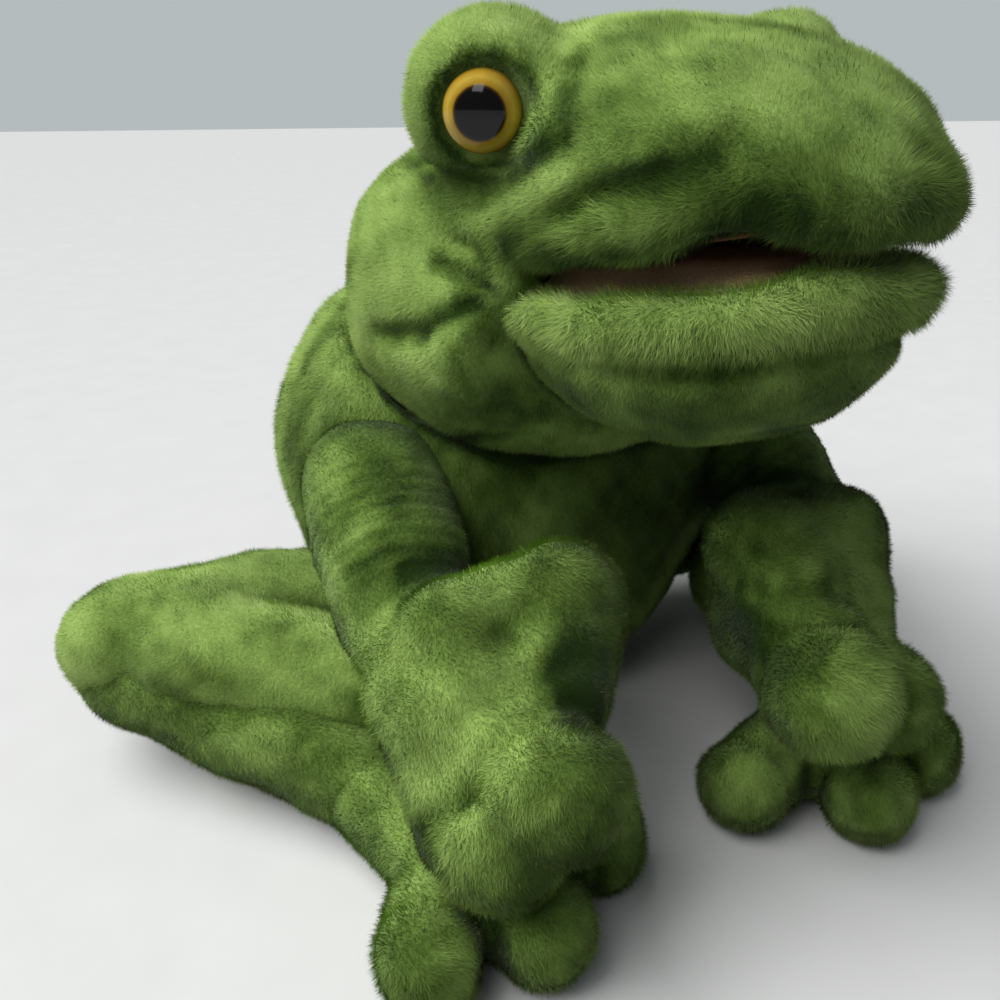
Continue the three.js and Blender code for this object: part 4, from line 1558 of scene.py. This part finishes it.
    def folds(self) -> list[Fold]:
        """The folds beside the mouth, round the bumps, over the cheek and under the head, on both sides."""
        lines = (
            Crease(((-49.0, -30.0, 208.0), (-60.4, -78.0, 207.0), (-56.0, -90.0, 205.0),
                    (-55.0, -109.0, 211.0), (-51.5, -121.0, 218.0)), 3.6, 3.4),
            Crease(((-38.0, -106.0, 235.0), (-45.0, -115.0, 228.0), (-51.0, -122.0, 221.0)), 2.4, 3.4),
            Crease(((-53.5, -104.0, 192.0), (-50.3, -136.6, 209.0), (-43.0, -150.0, 213.0)), 3.8, 3.2),
            Crease(((-43.0, -150.0, 213.0), (-36.0, -156.5, 217.0), (-31.0, -158.0, 223.0)), 1.3, 3.6),
            Crease(((-74.0, -58.0, 160.0), (-67.0, -81.0, 166.0), (-59.0, -90.0, 174.0)), 4.2, 3.2),
            Crease(((-61.0, -82.0, 191.0), (-53.0, -99.0, 185.0)), 3.2, 2.4),
            Crease(((-63.0, -80.0, 184.0), (-54.0, -97.0, 180.0)), 3.2, 2.4),
            Crease(((-56.0, -109.0, 182.0), (-54.0, -95.5, 165.0)), 2.6, 3.0),
            Crease(((-52.0, -22.0, 125.0), (-44.0, -79.0, 129.0), (-34.0, -116.5, 134.0)), 3.0, 4.0),
        )
        return [fold for line in lines for fold in (line, line.mirrored())]

    def build(self, room: Workroom, around: Sequence[Form]) -> None:
        """Makes the head and the jaw with their pile.

        Args:
            room: Where pieces are made.
            around: The forms that lie close by.
        """
        room.plush("head_plush", self.skull_cloth(around), Hold("head"),
                   ("head_shell", "eye_bump_right", "eye_bump_left"))
        room.plush("jaw_plush", self.jaw_cloth(around), Hold("jaw"), ("lower_jaw",))

    def skull_cloth(self, around: Sequence[Form]) -> Cloth:
        """The head without its jaw: longer pile on the lip, darker on the nose, and paler on brows and cheeks
        as painted light.

        Args:
            around: The forms that lie close by.

        Returns:
            The cloth to be made.
        """
        eyes = [self.eye_reach(side, -3.0, 12.0, (10.4, 10.4)) for side in Side]
        mouth = self.mouth_ball(True, 1.0, (44.0, 66.0, 6.5))
        inside = Joined((Grown(self.jaw_form(), 0.5), Grown(self.hand_room(), 6.0), mouth, *eyes), 0.1)
        whorls = [Whorl(self.eye_rim(side), 26.0, 2.5) for side in Side]
        nap = Nap((0.0, 1.0, -0.25), (Whorl((0.0, -118.0, 196.0), 75.0, 1.4), *whorls))
        cheeks = [Ball(side.at(66.0, -72.0, 172.0), (16.0, 26.0, 24.0)) for side in Side]
        # The brows and cheeks are made paler as painted light where the light falls on them.
        accents = (Accent(Grown(self.upper_lip(), -2.0), 1.6, -0.08),
                   Accent(Ball((0.0, -140.0, 222.0), (46.0, 44.0, 24.0)), 1.0, -0.10, 14.0),
                   Accent(Joined((*self.brows(), *cheeks), 0.1), 1.0, 0.10, 9.0))
        return Cloth(self.form(), nap, 101, self.folds(), inside, accents, around)

    def jaw_cloth(self, around: Sequence[Form]) -> Cloth:
        """The jaw: a crease under its lip, longer pale pile on the lip, and shorter pile under the chin,
        darkened there as painted shade.

        Args:
            around: The forms that lie close by.

        Returns:
            The cloth to be made.
        """
        floor = self.mouth_ball(False, 0.0, (41.0, 63.0, 7.0))
        hidden = Joined((Grown(self.thumb, 6.0), Grown(self.hollow, 6.0), floor), 0.1)
        under = Crease(self.lip(51.5, 69.5, -19.5, False, 0.0, 0.5, 1.5), 2.8, 3.4)
        nap = Nap((0.0, 0.25, -0.7), (Whorl((0.0, -112.0, 196.0), 90.0, 1.8),))
        # The chin's accent is painted shade under the head.
        accents = (Accent(Grown(self.lower_lip(), -2.0), 1.7, 0.22),
                   Accent(Ball((0.0, -112.0, 140.0), (52.0, 62.0, 22.0)), 0.75, -0.14, 14.0))
        return Cloth(Lumpy(self.jaw_form(), 31, 1.0), nap, 102, (under,), hidden, accents, around)


@dataclass
class Mouth:
    """The velvet mouth: roof, floor, the fold between them and the pockets for a hand."""

    head: Head
    half_width: float = 45.0
    length: float = 67.0
    back: float = 9.0
    slack: float = 1.0

    def plate(self, upper: bool, edge: float, crown: float, shrink: float = 1.0,
              drop: float = 0.0) -> Surface:
        """Spans half an ellipse on a lip's plane, crowned by one less the square of the way out.

        Args:
            upper: Whether it is the roof.
            edge: The rim's height over the plane.
            crown: The added height in the middle.
            shrink: The share of the full outline.
            drop: How far the outer seventh turns down.

        Returns:
            The points, quads and map.
        """
        out, turn = grid(np.linspace(0.02, 1.0, 22), turns(72))
        reach = np.where(np.sin(turn) > 0.0, self.length, self.back)
        x = shrink * self.half_width * out * np.cos(turn)
        y = self.head.corner_y - shrink * reach * out * np.sin(turn)
        z = self.head.plane_height(y, upper) + edge + crown * (1.0 - out ** 2)
        z = z - drop * np.clip((out - 0.86) / 0.14, 0.0, 1.0) ** 2
        z = z + 0.35 * Unevenness(14.0, 7).at(np.stack((x, y, np.zeros_like(x)), -1))
        uv = np.stack((0.5 + 0.5 * out * np.cos(turn), 0.5 + 0.5 * out * np.sin(turn)), -1)
        return laid_out(np.stack((x, y, z), -1), uv, grid_quads(22, 72, True, not upper))

    def pouch(self, ball: Ball) -> Surface:
        """Spans a pocket: a ball form open at its back third, walked from its tip to its mouth.

        Args:
            ball: The pocket's room, which the cloth lies just inside of.

        Returns:
            The points, quads and map.
        """
        way, turn = grid(np.linspace(0.004, 0.66, 26), turns(48))
        level, up = (np.sign(wave) * np.abs(wave) ** 0.9 * np.sin(np.pi * way)
                     for wave in (np.cos(turn), np.sin(turn)))
        offset = np.stack((level, -np.cos(np.pi * way), up), -1)
        points = ball.center + (np.asarray(ball.half) - self.slack) * offset
        uv = np.stack((turn / (2.0 * np.pi), way / 0.66), -1)
        return laid_out(points, uv, grid_quads(26, 48, True))

    def fold(self) -> Surface:
        """Spans the fold at the back of the mouth: half a turn from the roof's back edge to the floor's.

        Returns:
            The points, quads and map.
        """
        across, turn = grid(np.linspace(-1.0, 1.0, 40), np.linspace(0.0, np.pi, 14))
        bow = np.sqrt(np.maximum(0.0, 1.0 - across ** 2))
        x = self.half_width * across
        y = self.head.corner_y + self.back * 0.55 * bow + 4.0 * np.sin(turn)
        z = 0.5 * (self.head.upper_lip_z + self.head.lower_lip_z) + 2.8 * np.cos(turn)
        z = z + 0.4 * np.sin(9.0 * across)
        uv = np.stack((0.5 + 0.5 * across, turn / np.pi), -1)
        return laid_out(np.stack((x, y, z), -1), uv, grid_quads(40, 14))

    def build(self, room: Workroom) -> None:
        """Makes the velvet pieces and the pockets, and finishes the boards.

        Args:
            room: Where pieces are made.
        """
        room.sheet("roof_velvet", self.plate(True, 3.0, 2.0), 1.0, room.roof, Hold("head"), Slot.ROOF,
                   ("upper_mouth_lining",))
        room.sheet("floor_velvet", self.plate(False, 1.5, 4.5, 0.96, 5.0), 1.0, room.floor, Hold("jaw"),
                   Slot.FLOOR, ("lower_mouth_lining",))
        corner = np.array((0.0, self.head.corner_y, self.head.lower_lip_z))
        hinge = Hold("head", "jaw", corner + (0.0, 0.0, 5.0), corner - (0.0, 0.0, 2.0))
        room.sheet("mouth_fold", self.fold(), 0.8, room.roof, hinge, Slot.ROOF)
        for name, ball, body in (("finger", self.head.fingers, "head"), ("thumb", self.head.thumb, "jaw")):
            room.sheet(f"{name}_pouch", self.pouch(ball), 0.8, room.woven, Hold(body), Slot.LINING,
                       (f"{name}_pocket",))
        for name in ("upper", "lower"):
            room.refinish(f"{name}_palate_board", room.card)


@dataclass
class Eye:
    """A moulded eye: a dome with a rounded rim on a stem, turned about the way it looks."""

    head: Head
    side: Side
    radius: float = 10.0
    height: float = 6.8
    stem: float = 2.2
    depth: float = 13.0

    def build(self, room: Workroom) -> None:
        """Turns the eye's profile, from the stem's end over the rim to the dome's middle.

        Args:
            room: Where pieces are made.
        """
        arc = np.linspace(0.0, 0.5 * np.pi, 30)
        stem_out = (0.02, self.stem, self.stem, self.radius - 0.4, self.radius)
        stem_rise = (-self.depth, -self.depth, -1.2, -1.2, -0.6)
        out = np.concatenate((stem_out, self.radius * np.cos(arc)))
        rise = np.concatenate((stem_rise, self.height * np.sin(arc) ** 0.92))
        out[-1] = stem_out[0]
        turn = turns(64)
        ahead = self.head.eye_facing(self.side)
        level = unit(np.cross(ahead, (0.0, 0.0, 1.0)))
        up = np.cross(level, ahead)
        ring = np.cos(turn)[:, None] * level + np.sin(turn)[:, None] * up
        points = self.head.eye_rim(self.side) + out[:, None, None] * ring + rise[:, None, None] * ahead
        shown = np.concatenate((np.ones(len(stem_out)), out[len(stem_out):] / self.radius))
        uv = np.stack(np.broadcast_arrays(turn / (2.0 * np.pi), shown[:, None]), -1)
        dome = laid_out(points, uv, grid_quads(len(out), len(turn), True))
        word = self.side.word
        room.sheet(f"eye_dome_{word}", dome, None, room.eye, Hold("head"), Slot.EYE, (f"eye_{word}",))
        room.refinish(f"eye_washer_{word}", room.moulded)


@dataclass
class Torso:
    """The stuffed body with its weighted seat, and the lined way for a hand through it."""

    head: Head
    chest: Sequence[float] = (0.0, -6.0, 102.0)
    chest_half: Sequence[float] = (90.0, 67.0, 74.0)
    rump: Sequence[float] = (0.0, 4.0, 49.5)
    rump_half: Sequence[float] = (80.0, 66.0, 50.0)
    way: Sequence[Sequence[float]] = (
        (0.0, 80.0, 49.0), (0.0, 24.0, 49.0), (0.0, 6.9, 73.3), (0.0, -15.75, 111.0))
    sleeve: float = 30.5
    hip_room: float = 20.0
    shoulder_room: float = 12.0
    collar_radius: float = 59.6
    collar_lean: tuple[float, float] = (29.0, 35.5)

    @property
    def entry_z(self) -> float:
        """The height of the middle of the hand's entry."""
        return self.way[0][2]

    def path(self, start: float, end: float, count: int) -> Array:
        """Points of the hand's way: a cubic curve through its four controls.

        Args:
            start: The share of the way where it starts.
            end: The share where it ends.
            count: How many points.

        Returns:
            The points.
        """
        share = np.linspace(start, end, count)[:, None]
        first, second, third, last = np.asarray(self.way, float)
        rest = 1.0 - share
        ends = rest ** 3 * first + share ** 3 * last
        return ends + 3.0 * rest * share * (rest * second + share * third)

    def whole(self) -> Form:
        """The body before its hollows: chest and rump sewn together on a flat seat."""
        body = Joined((Ball(self.chest, self.chest_half, 2.2), Ball(self.rump, self.rump_half, 2.2)), 14.0)
        return Carved(body, (Wedge((((0.0, 0.0, 0.8), (0.0, 0.0, 1.0)),)),), 5.0)

    def form(self) -> Form:
        """The body with the hand's way, the head's bowl and the sockets of the limbs taken out.

        Returns:
            The body's form.
        """
        bowl, jaw = Grown(self.head.balls()[0], -2.8), Grown(self.head.jaw_ball(), -2.0)
        way = Roll(self.path(0.0, 1.0, 14), np.full(14, self.sleeve))
        hip, arm = self.hip_room, self.shoulder_room
        hips = [Limb(side.at(*Leg.hip), side.at(*Leg.knee), hip, hip) for side in Side]
        arms = [Limb(side.at(*Arm.shoulder), side.at(*Arm.elbow), arm, arm) for side in Side]
        return Lumpy(Carved(self.whole(), (bowl, jaw, way, *hips, *arms), 3.5), 41, 1.6)

    def seams(self) -> list[Fold]:
        """The two side seams and the seam up the back.

        Returns:
            The three seams.
        """
        side = Crease(((-84.0, 6.0, 40.0), (-92.0, 8.0, 75.0), (-92.0, 8.0, 105.0), (-84.0, 6.0, 140.0),
                       (-60.0, 4.0, 165.0)), 2.4, 3.6)
        back = Crease(((0.0, 76.0, 84.0), (0.0, 66.0, 118.0), (0.0, 52.0, 146.0), (0.0, 30.0, 168.0)),
                      1.8, 3.4)
        return [side, side.mirrored(), back]

    def tube(self, path: Array, radius: Array, sides: int) -> Surface:
        """Carries a ring along a path in the middle plane.

        Args:
            path: The path's points, all at X 0.
            radius: The radius at each point and each side.
            sides: The points round the ring.

        Returns:
            The points, quads and map.
        """
        along = unit(np.gradient(path, axis=0))
        turn = turns(sides)
        across = np.array((1.0, 0.0, 0.0))
        lift = np.cross(along, across)
        ring = np.cos(turn)[None, :, None] * across + np.sin(turn)[None, :, None] * lift[:, None]
        points = path[:, None] + radius[..., None] * ring
        way = np.linspace(0.0, 1.0, len(path))
        uv = np.stack(np.broadcast_arrays(turn / (2.0 * np.pi), way[:, None]), -1)
        return laid_out(points, uv, grid_quads(len(path), sides, True))

    def rim_path(self, count: int) -> Array:
        """Where the hand's way leaves the body: found by halving along Y for each point of a ring.

        Args:
            count: How many points.

        Returns:
            The points.
        """
        turn = turns(count)
        radius = self.sleeve + 2.2
        x, z = radius * np.cos(turn), self.entry_z + radius * np.sin(turn)
        low, high = np.full(count, 20.0), np.full(count, 95.0)
        whole = Grown(self.whole(), -1.2)
        for _ in range(24):
            middle = 0.5 * (low + high)
            inside = whole.distance(np.column_stack((x, middle, z))) < 0.0
            low, high = np.where(inside, middle, low), np.where(inside, high, middle)
        return np.column_stack((x, low, z))

    def rim(self) -> Surface:
        """Carries a soft pleated roll round the mouth of the hand's way.

        Returns:
            The points, quads and map.
        """
        count, sides = 160, 18
        path = self.rim_path(count)
        along = unit(np.roll(path, -1, 0) - np.roll(path, 1, 0))
        out = unit((path - (0.0, 0.0, self.entry_z)) * (1.0, 0.0, 1.0))
        back = unit(np.cross(along, out))
        out = np.cross(back, along)
        turn = turns(sides)
        pleat = 3.6 + 0.5 * np.sin(np.arange(count) * 2.0 * np.pi * 20 / count)
        ring = np.cos(turn)[None, :, None] * out[:, None] + np.sin(turn)[None, :, None] * back[:, None]
        points = path[:, None] + pleat[:, None, None] * ring
        points = np.concatenate((points, points[:1]))
        way = np.linspace(0.0, 1.0, count + 1)
        uv = np.stack(np.broadcast_arrays(turn / (2.0 * np.pi), way[:, None]), -1)
        return laid_out(points, uv, grid_quads(count + 1, sides, True))

    def collar(self) -> Surface:
        """Spans the gathered ring under the head: part of a ball about the neck, pleated round.

        Returns:
            The points, quads and map.
        """
        axis = unit(np.asarray(self.head.bore_axis, float))
        level = np.array((1.0, 0.0, 0.0))
        third = np.cross(axis, level)
        low, high = self.collar_lean
        lean, turn = grid(np.radians(np.linspace(low, high, 10)), turns(180))
        radius = self.collar_radius + 0.6 * np.sin(30.0 * turn)
        ring = np.cos(turn)[..., None] * level + np.sin(turn)[..., None] * third
        points = np.asarray(self.head.neck) + radius[..., None] * (
            np.cos(lean)[..., None] * axis + np.sin(lean)[..., None] * ring)
        uv = np.stack((turn / (2.0 * np.pi), (np.degrees(lean) - low) / (high - low)), -1)
        return laid_out(points, uv, grid_quads(10, 180, True))

    def build(self, room: Workroom, around: Sequence[Form]) -> None:
        """Makes the body, the sleeve, its rim and the collar.

        Args:
            room: Where pieces are made.
            around: The forms that lie close by.
        """
        way = Roll(self.path(0.0, 1.0, 14), np.full(14, self.sleeve + 5.0))
        bare = Joined((way, self.head.balls()[0]), 0.1)
        # Painted shade on the upper chest, under the head and between the arms.
        chest = Accent(Ball((0.0, -66.0, 108.0), (56.0, 24.0, 34.0)), 1.0, -0.18, 14.0)
        cloth = Cloth(self.form(), Nap((0.0, 0.0, -1.0)), 103, self.seams(), bare, (chest,), around,
                      fill=0.65, rests=True, pile=Pile(length=3.0, density=4.2))
        room.plush("torso_plush", cloth, Hold("torso"), ("seat_cushion", "belly_panel", "back_panel"))
        path = self.path(0.14, 1.0, 60)
        crinkle = 0.5 * np.sin(7.0 * turns(72))[None] * np.sin(np.linspace(0.0, 30.0, 60))[:, None]
        sleeve = self.tube(path, self.sleeve + 0.4 + crinkle, 72)
        for name, surface, wall, body, node in (
                ("sleeve_cloth", sleeve, 0.9, "torso", "hand_sleeve"),
                ("entry_rim", self.rim(), None, "torso", "entry_hem"),
                ("gathered_collar", self.collar(), 1.4, "neck", "neck_collar")):
            room.sheet(name, surface, wall, room.woven, Hold(body), Slot.LINING, (node,))


@dataclass
class Arm:
    """One arm: upper arm and forearm in one skin, and a hand of three fingers."""

    side: Side
    shoulder: tuple[float, float, float] = (73.0, -40.0, 106.0)
    elbow: tuple[float, float, float] = (78.0, -80.0, 80.0)
    palm: tuple[float, float, float] = (66.0, -118.0, 68.0)
    fingers: Sequence[tuple[float, float, float, float]] = (
        (38.0, -111.0, 88.0, 19.0), (59.0, -158.0, 64.5, 20.0), (79.0, -152.0, 47.5, 17.5))
    leans: Mapping[Side, Sequence[float]] = field(
        default_factory=lambda: {Side.RIGHT: (8.0, 3.0, 11.5, 5.0), Side.LEFT: (24.0, 3.0, 36.0, 23.0)})

    def points(self) -> tuple[Array, Array, Array, list[tuple[Array, float]]]:
        """The shoulder, elbow, palm and each fingertip with its radius; both hands lean to the right.

        Returns:
            The three points, and a list of the fingertips.
        """
        lean, *leans = self.leans[self.side]
        tips = [(self.side.at(x, y, z) - (away, 0.0, 0.0), radius)
                for (x, y, z, radius), away in zip(self.fingers, leans)]
        palm = self.side.at(*self.palm) - (lean, 0.0, 0.0)
        return self.side.at(*self.shoulder), self.side.at(*self.elbow), palm, tips

    def corner(self) -> Array:
        """The outer knuckle, level with the inner finger."""
        return self.points()[3][0][0] + self.side.at(34.0, 2.0, -3.0)

    def mitten(self) -> Form:
        """The broad hand: a full back from the inner finger past the outer knuckle to the outer finger.

        Returns:
            The hand's form.
        """
        _, elbow, palm, ((inner, _), (middle, _), (outer, _)) = self.points()
        corner = self.corner()
        heel = Limb(palm + self.side.at(4.0, 6.0, -4.0), outer + self.side.at(4.0, 14.0, -1.0), 25.5, 16.0)
        return Joined((Limb(elbow, palm, 20.0, 27.5), Limb(inner, corner, 19.5, 18.5), heel,
                       Limb(corner, outer + (0.0, 12.0, 0.0), 18.5, 14.0),
                       Limb(inner, middle + (0.0, 8.0, 0.0), 19.5, 18.0)), 4.0)

    def shade(self) -> Accent:
        """Painted shade on the hands: much darker on the left hand, a little on the right."""
        tone = -0.12 if self.side is Side.LEFT else -0.04
        return Accent(Ball(self.points()[2], (50.0,) * 3), 1.0, tone, 10.0)

    def valley(self) -> Crease:
        """The hollow across the hand under the inner finger.

        Returns:
            The crease.
        """
        (inner, _), (middle, _), _ = self.points()[3]
        across = unit(self.corner() - inner)
        front = np.cross(middle - inner, across)
        front = unit(front) * np.sign(front[2])
        path = [0.5 * (inner + middle) + out * front + way * across
                for out, way in ((15.0, -3.0), (17.0, 10.0), (19.0, 24.0))]
        return Crease(path, 3.0, 6.0)

    def bulk(self) -> Form:
        """The arm's plain outer shape, for pieces that lie against it."""
        shoulder, elbow, palm, _ = self.points()
        return Joined((Limb(shoulder, elbow, 24.0, 22.0), Limb(elbow, palm, 23.0, 30.0)), 4.0)

    def build(self, room: Workroom, around: Sequence[Form]) -> None:
        """Makes the arm with its pile, which spreads from each fingertip.

        Args:
            room: Where pieces are made.
            around: The forms that lie close by.
        """
        word, seed = self.side.word, 200 if self.side is Side.RIGHT else 230
        shoulder, elbow, palm, tips = self.points()
        along = elbow - shoulder
        upper = Limb(shoulder + self.side.at(-2.0, -4.0, 0.0), elbow, 26.0, 22.0, 2.0)
        lobes = [Limb(palm + 0.3 * (tip - palm), tip, radius, radius + 1.2) for tip, radius in tips]
        hand = Joined((self.mitten(), Joined(lobes, 2.0)), 2.5)
        form = Lumpy(Joined((hand, upper), 2.0), seed, 1.0)
        bases = [base_crease(palm, tip, 0.55 * radius, radius + 1.0, depth, 3.2)
                 for (tip, radius), depth in zip(tips[1:], (3.0, 2.0))]
        folds = (self.valley(), Rings(elbow - 0.5 * along, along, 5.0, 0.7, 17.0), *bases)
        ways = [Whorl(tip + radius * unit(tip - palm), 24.0, 2.4) for tip, radius in tips]
        ends = Joined([Ball(tip, (radius - 1.0,) * 3) for tip, radius in tips], 0.1)
        # Shorter pile on the upper arm, darkened as painted shade under the head.
        smooth = Accent(Limb(shoulder, elbow - 0.2 * along, 26.0, 23.0), 0.62, -0.16, 8.0)
        bare = Ball(shoulder + (-34.0 * self.side.value, 22.0, 0.0), (26.0,) * 3)
        axis = unit(palm - shoulder)
        hold = Hold(f"arm_{word}", f"hand_{word}", elbow - 13.0 * axis, elbow + 13.0 * axis)
        accents = (smooth, Accent(ends, 1.35, 0.04, 8.0), self.shade())
        cloth = Cloth(form, Nap(tuple(along), tuple(ways)), seed, folds, bare, accents, around)
        room.plush(f"arm_{word}_plush", cloth, hold, (f"upper_arm_{word}", f"forearm_hand_{word}"))


@dataclass
class Leg:
    """One folded leg: thigh, shin and a foot of three toes, each on its own body."""

    side: Side
    hip: tuple[float, float, float] = (72.0, 2.0, 44.0)
    knee: tuple[float, float, float] = (148.0, 4.0, 44.0)
    ankle: tuple[float, float, float] = (90.0, -80.0, 20.0)
    sole: tuple[float, float, float] = (76.0, -122.0, 18.5)
    toes: Sequence[tuple[float, float, float]] = (
        (95.0, -146.0, 15.5), (65.0, -155.0, 15.5), (34.0, -132.0, 15.5))
    toe_radius: float = 16.0
    leans: Mapping[Side, float] = field(default_factory=lambda: {Side.RIGHT: 7.0, Side.LEFT: 15.0})

    def points(self) -> tuple[Array, Array, Array, Array, list[Array]]:
        """The hip, the knee, the ankle, the sole and the toes; both feet lean to the right.

        Returns:
            The four points, and a list of the toes.
        """
        away = np.array((-self.leans[self.side], 0.0, 0.0))
        hip, knee, ankle = (self.side.at(*p) for p in (self.hip, self.knee, self.ankle))
        sole, *toes = (self.side.at(*p) + away for p in (self.sole, *self.toes))
        return hip, knee, ankle, sole, toes

    def bulks(self) -> tuple[Form, Form, Form]:
        """The plain outer shapes of thigh, shin and foot, for pieces that lie against them."""
        hip, knee, ankle, sole, _ = self.points()
        return Limb(hip, knee, 24.0, 24.0, 2.0), Limb(knee, ankle, 22.0, 19.0), Limb(ankle, sole, 19.0, 24.0)

    def build(self, room: Workroom, around: Sequence[Form]) -> None:
        """Makes the leg's three pieces with their pile.

        Args:
            room: Where pieces are made.
            around: The forms that lie close by.
        """
        word, seed = self.side.word, 300 if self.side is Side.RIGHT else 330
        hip, knee, ankle, sole, ends = self.points()
        _, lower, paw = self.bulks()
        body = Ball((0.0, 4.0, 50.0), (78.0, 64.0, 52.0), 2.2)
        pad = Limb(self.side.at(86.0, -53.0, 38.0), self.side.at(132.0, -20.0, 49.0), 25.0, 23.0)
        whole = Joined((Limb(hip - (0.0, 0.0, 4.0), knee, 24.5, 25.5, 2.0), pad), 8.0)
        thigh = Lumpy(whole, seed)
        nap = Nap(tuple(knee - hip), (Whorl(knee + (self.side.value * 24.0, 0.0, 8.0), 26.0, 2.0),))
        # Painted light: the whole thigh made paler where the light falls on it.
        pale = Accent(Grown(whole, 2.0), 1.0, 0.16)
        shin = Lumpy(Limb(knee + self.side.at(-2.5, -3.0, -5.0), ankle, 24.5, 19.5), seed + 5)
        radius = self.toe_radius
        spread = [Limb(sole + 0.15 * (end - sole), end, 17.0, radius + 1.4) for end in ends]
        foot = Lumpy(Joined((Limb(ankle, sole, 19.5, 20.5), Joined(spread, 3.0)), 5.0), seed + 9)
        bases = [base_crease(sole, end, 0.30 * radius, radius + 0.5, 1.5, 2.8) for end in ends]
        tips = [Whorl(end + radius * unit(end - sole), 22.0, 2.2) for end in ends]
        lobes = Joined([Ball(end, (radius - 1.0,) * 3) for end in ends], 0.1)
        cloths = {
            "thigh": Cloth(thigh, nap, seed, (), body, (pale,), around, rests=True),
            "shin": Cloth(shin, Nap(tuple(ankle - knee)), seed + 5, around=(whole, paw, *around), rests=True),
            "foot": Cloth(foot, Nap(tuple(sole - ankle), tuple(tips)), seed + 9, bases,
                          accents=(Accent(lobes, 1.35, 0.02, 8.0),), around=(lower, *around), rests=True)}
        for name, cloth in cloths.items():
            room.plush(f"{name}_{word}_plush", cloth, Hold(f"{name}_{word}"), (f"{name}_{word}",))


@dataclass
class Studio:
    """The pale floor, the soft light and the camera."""

    eye: tuple[float, float, float] = (-0.185, -0.338, 0.241)
    azimuth: float = -28.5
    elevation: float = 24.0
    lens: float = 37.8
    paper: Colour = (0.82, 0.82, 0.81)
    wall: Colour = (0.46, 0.50, 0.51)
    room_light: Colour = (0.14, 0.15, 0.16)
    shaded_paper: Colour = (0.30, 0.30, 0.30)

    def build(self) -> None:
        """Sets up the floor, the lamps, the world and the camera."""
        self.floor()
        window = self.lamp("window", "SUN", (-0.62, 0.14, 0.92), 3.2, {"angle": math.radians(60.0)})
        window.visible_glossy = False
        self.lamp("softbox", "AREA", (-0.60, -0.55, 0.90), 1.6, {"size": 0.35})
        self.world()
        self.camera()

    def floor(self) -> None:
        """Lays a sheet of pale paper that ends far behind the puppet."""
        reach = 9000.0
        corners = np.array(((-reach, -reach, 0.0), (reach, -reach, 0.0),
                            (reach, -500.0, 0.0), (-reach, 6300.0, 0.0)))
        sheet = make_object("paper", corners, np.array(((0, 1, 2, 3),)))
        shade = Shade("pale_paper")
        fibre = shade.noise(35.0, 4.0)
        tint = shade.ramp(fibre, ((0.3, tuple(0.97 * c for c in self.paper)), (0.7, self.paper)))
        colour = shade.mix(shade.rays("Camera", "Glossy", "Transmission"), self.shaded_paper, tint)
        sheet.data.materials.append(shade.finish(Base_Color=colour, Roughness=0.9, Specular_IOR_Level=0.1))

    @staticmethod
    def lamp(name: str, kind: str, place: Sequence[float], power: float,
             settings: Mapping[str, float]) -> Node:
        """Hangs a soft light that looks at the middle of the puppet.

        Args:
            name: The lamp's name.
            kind: Its type.
            place: Where it hangs, in metres.
            power: Its strength.
            settings: Its other settings.

        Returns:
            The lamp.
        """
        light = bpy.data.lights.new(name, kind)
        light.energy = power
        for key, value in settings.items():
            setattr(light, key, value)
        lamp = bpy.data.objects.new(name, light)
        lamp.location = place
        lamp.rotation_euler = (Vector((0.0, -0.06, 0.12)) - Vector(place)).to_track_quat("-Z", "Y").to_euler()
        bpy.context.scene.collection.objects.link(lamp)
        return lamp

    def world(self) -> None:
        """Gives even light from all round, and a pale wall to the camera."""
        shade = Shade("pale_room", bpy.data.worlds, "Background")
        colour = shade.mix(shade.rays("Camera", "Transmission"), self.room_light, self.wall)
        bpy.context.scene.world = shade.finish(Color=colour)

    def camera(self) -> None:
        """Places the camera at the photo's angle."""
        turn, rise = math.radians(self.azimuth), math.radians(self.elevation)
        back = Vector((math.sin(turn) * math.cos(rise), -math.cos(turn) * math.cos(rise), math.sin(rise)))
        lens = bpy.data.cameras.new("photo_lens")
        lens.lens, lens.sensor_width = self.lens, 36.0
        lens.clip_start, lens.clip_end = 0.01, 50.0
        camera = bpy.data.objects.new("photo_camera", lens)
        camera.location = self.eye
        camera.rotation_euler = back.to_track_quat("Z", "Y").to_euler()
        bpy.context.scene.collection.objects.link(camera)
        bpy.context.scene.camera = camera
        bpy.context.scene.view_settings.view_transform = "Standard"


def main() -> None:
    """Builds the studio and each part of the puppet in order."""
    logging.basicConfig(level=logging.INFO, format="%(name)s %(message)s")
    Studio().build()
    room = Workroom()
    head = Head()
    torso = Torso(head)
    arms, legs = [Arm(side) for side in Side], [Leg(side) for side in Side]
    body, bulk = torso.whole(), head.bulk()
    reach = [arm.bulk() for arm in arms]
    limbs = [form for leg in legs for form in leg.bulks()]
    torso.build(room, (bulk, *reach, *limbs))
    head.build(room, (body, *reach))
    Mouth(head).build(room)
    for side, arm, leg in zip(Side, arms, legs):
        Eye(head, side).build(room)
        arm.build(room, (body, bulk, *leg.bulks()))
        leg.build(room, (body, arm.bulk()))
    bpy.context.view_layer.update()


if __name__ == "__main__":
    main()
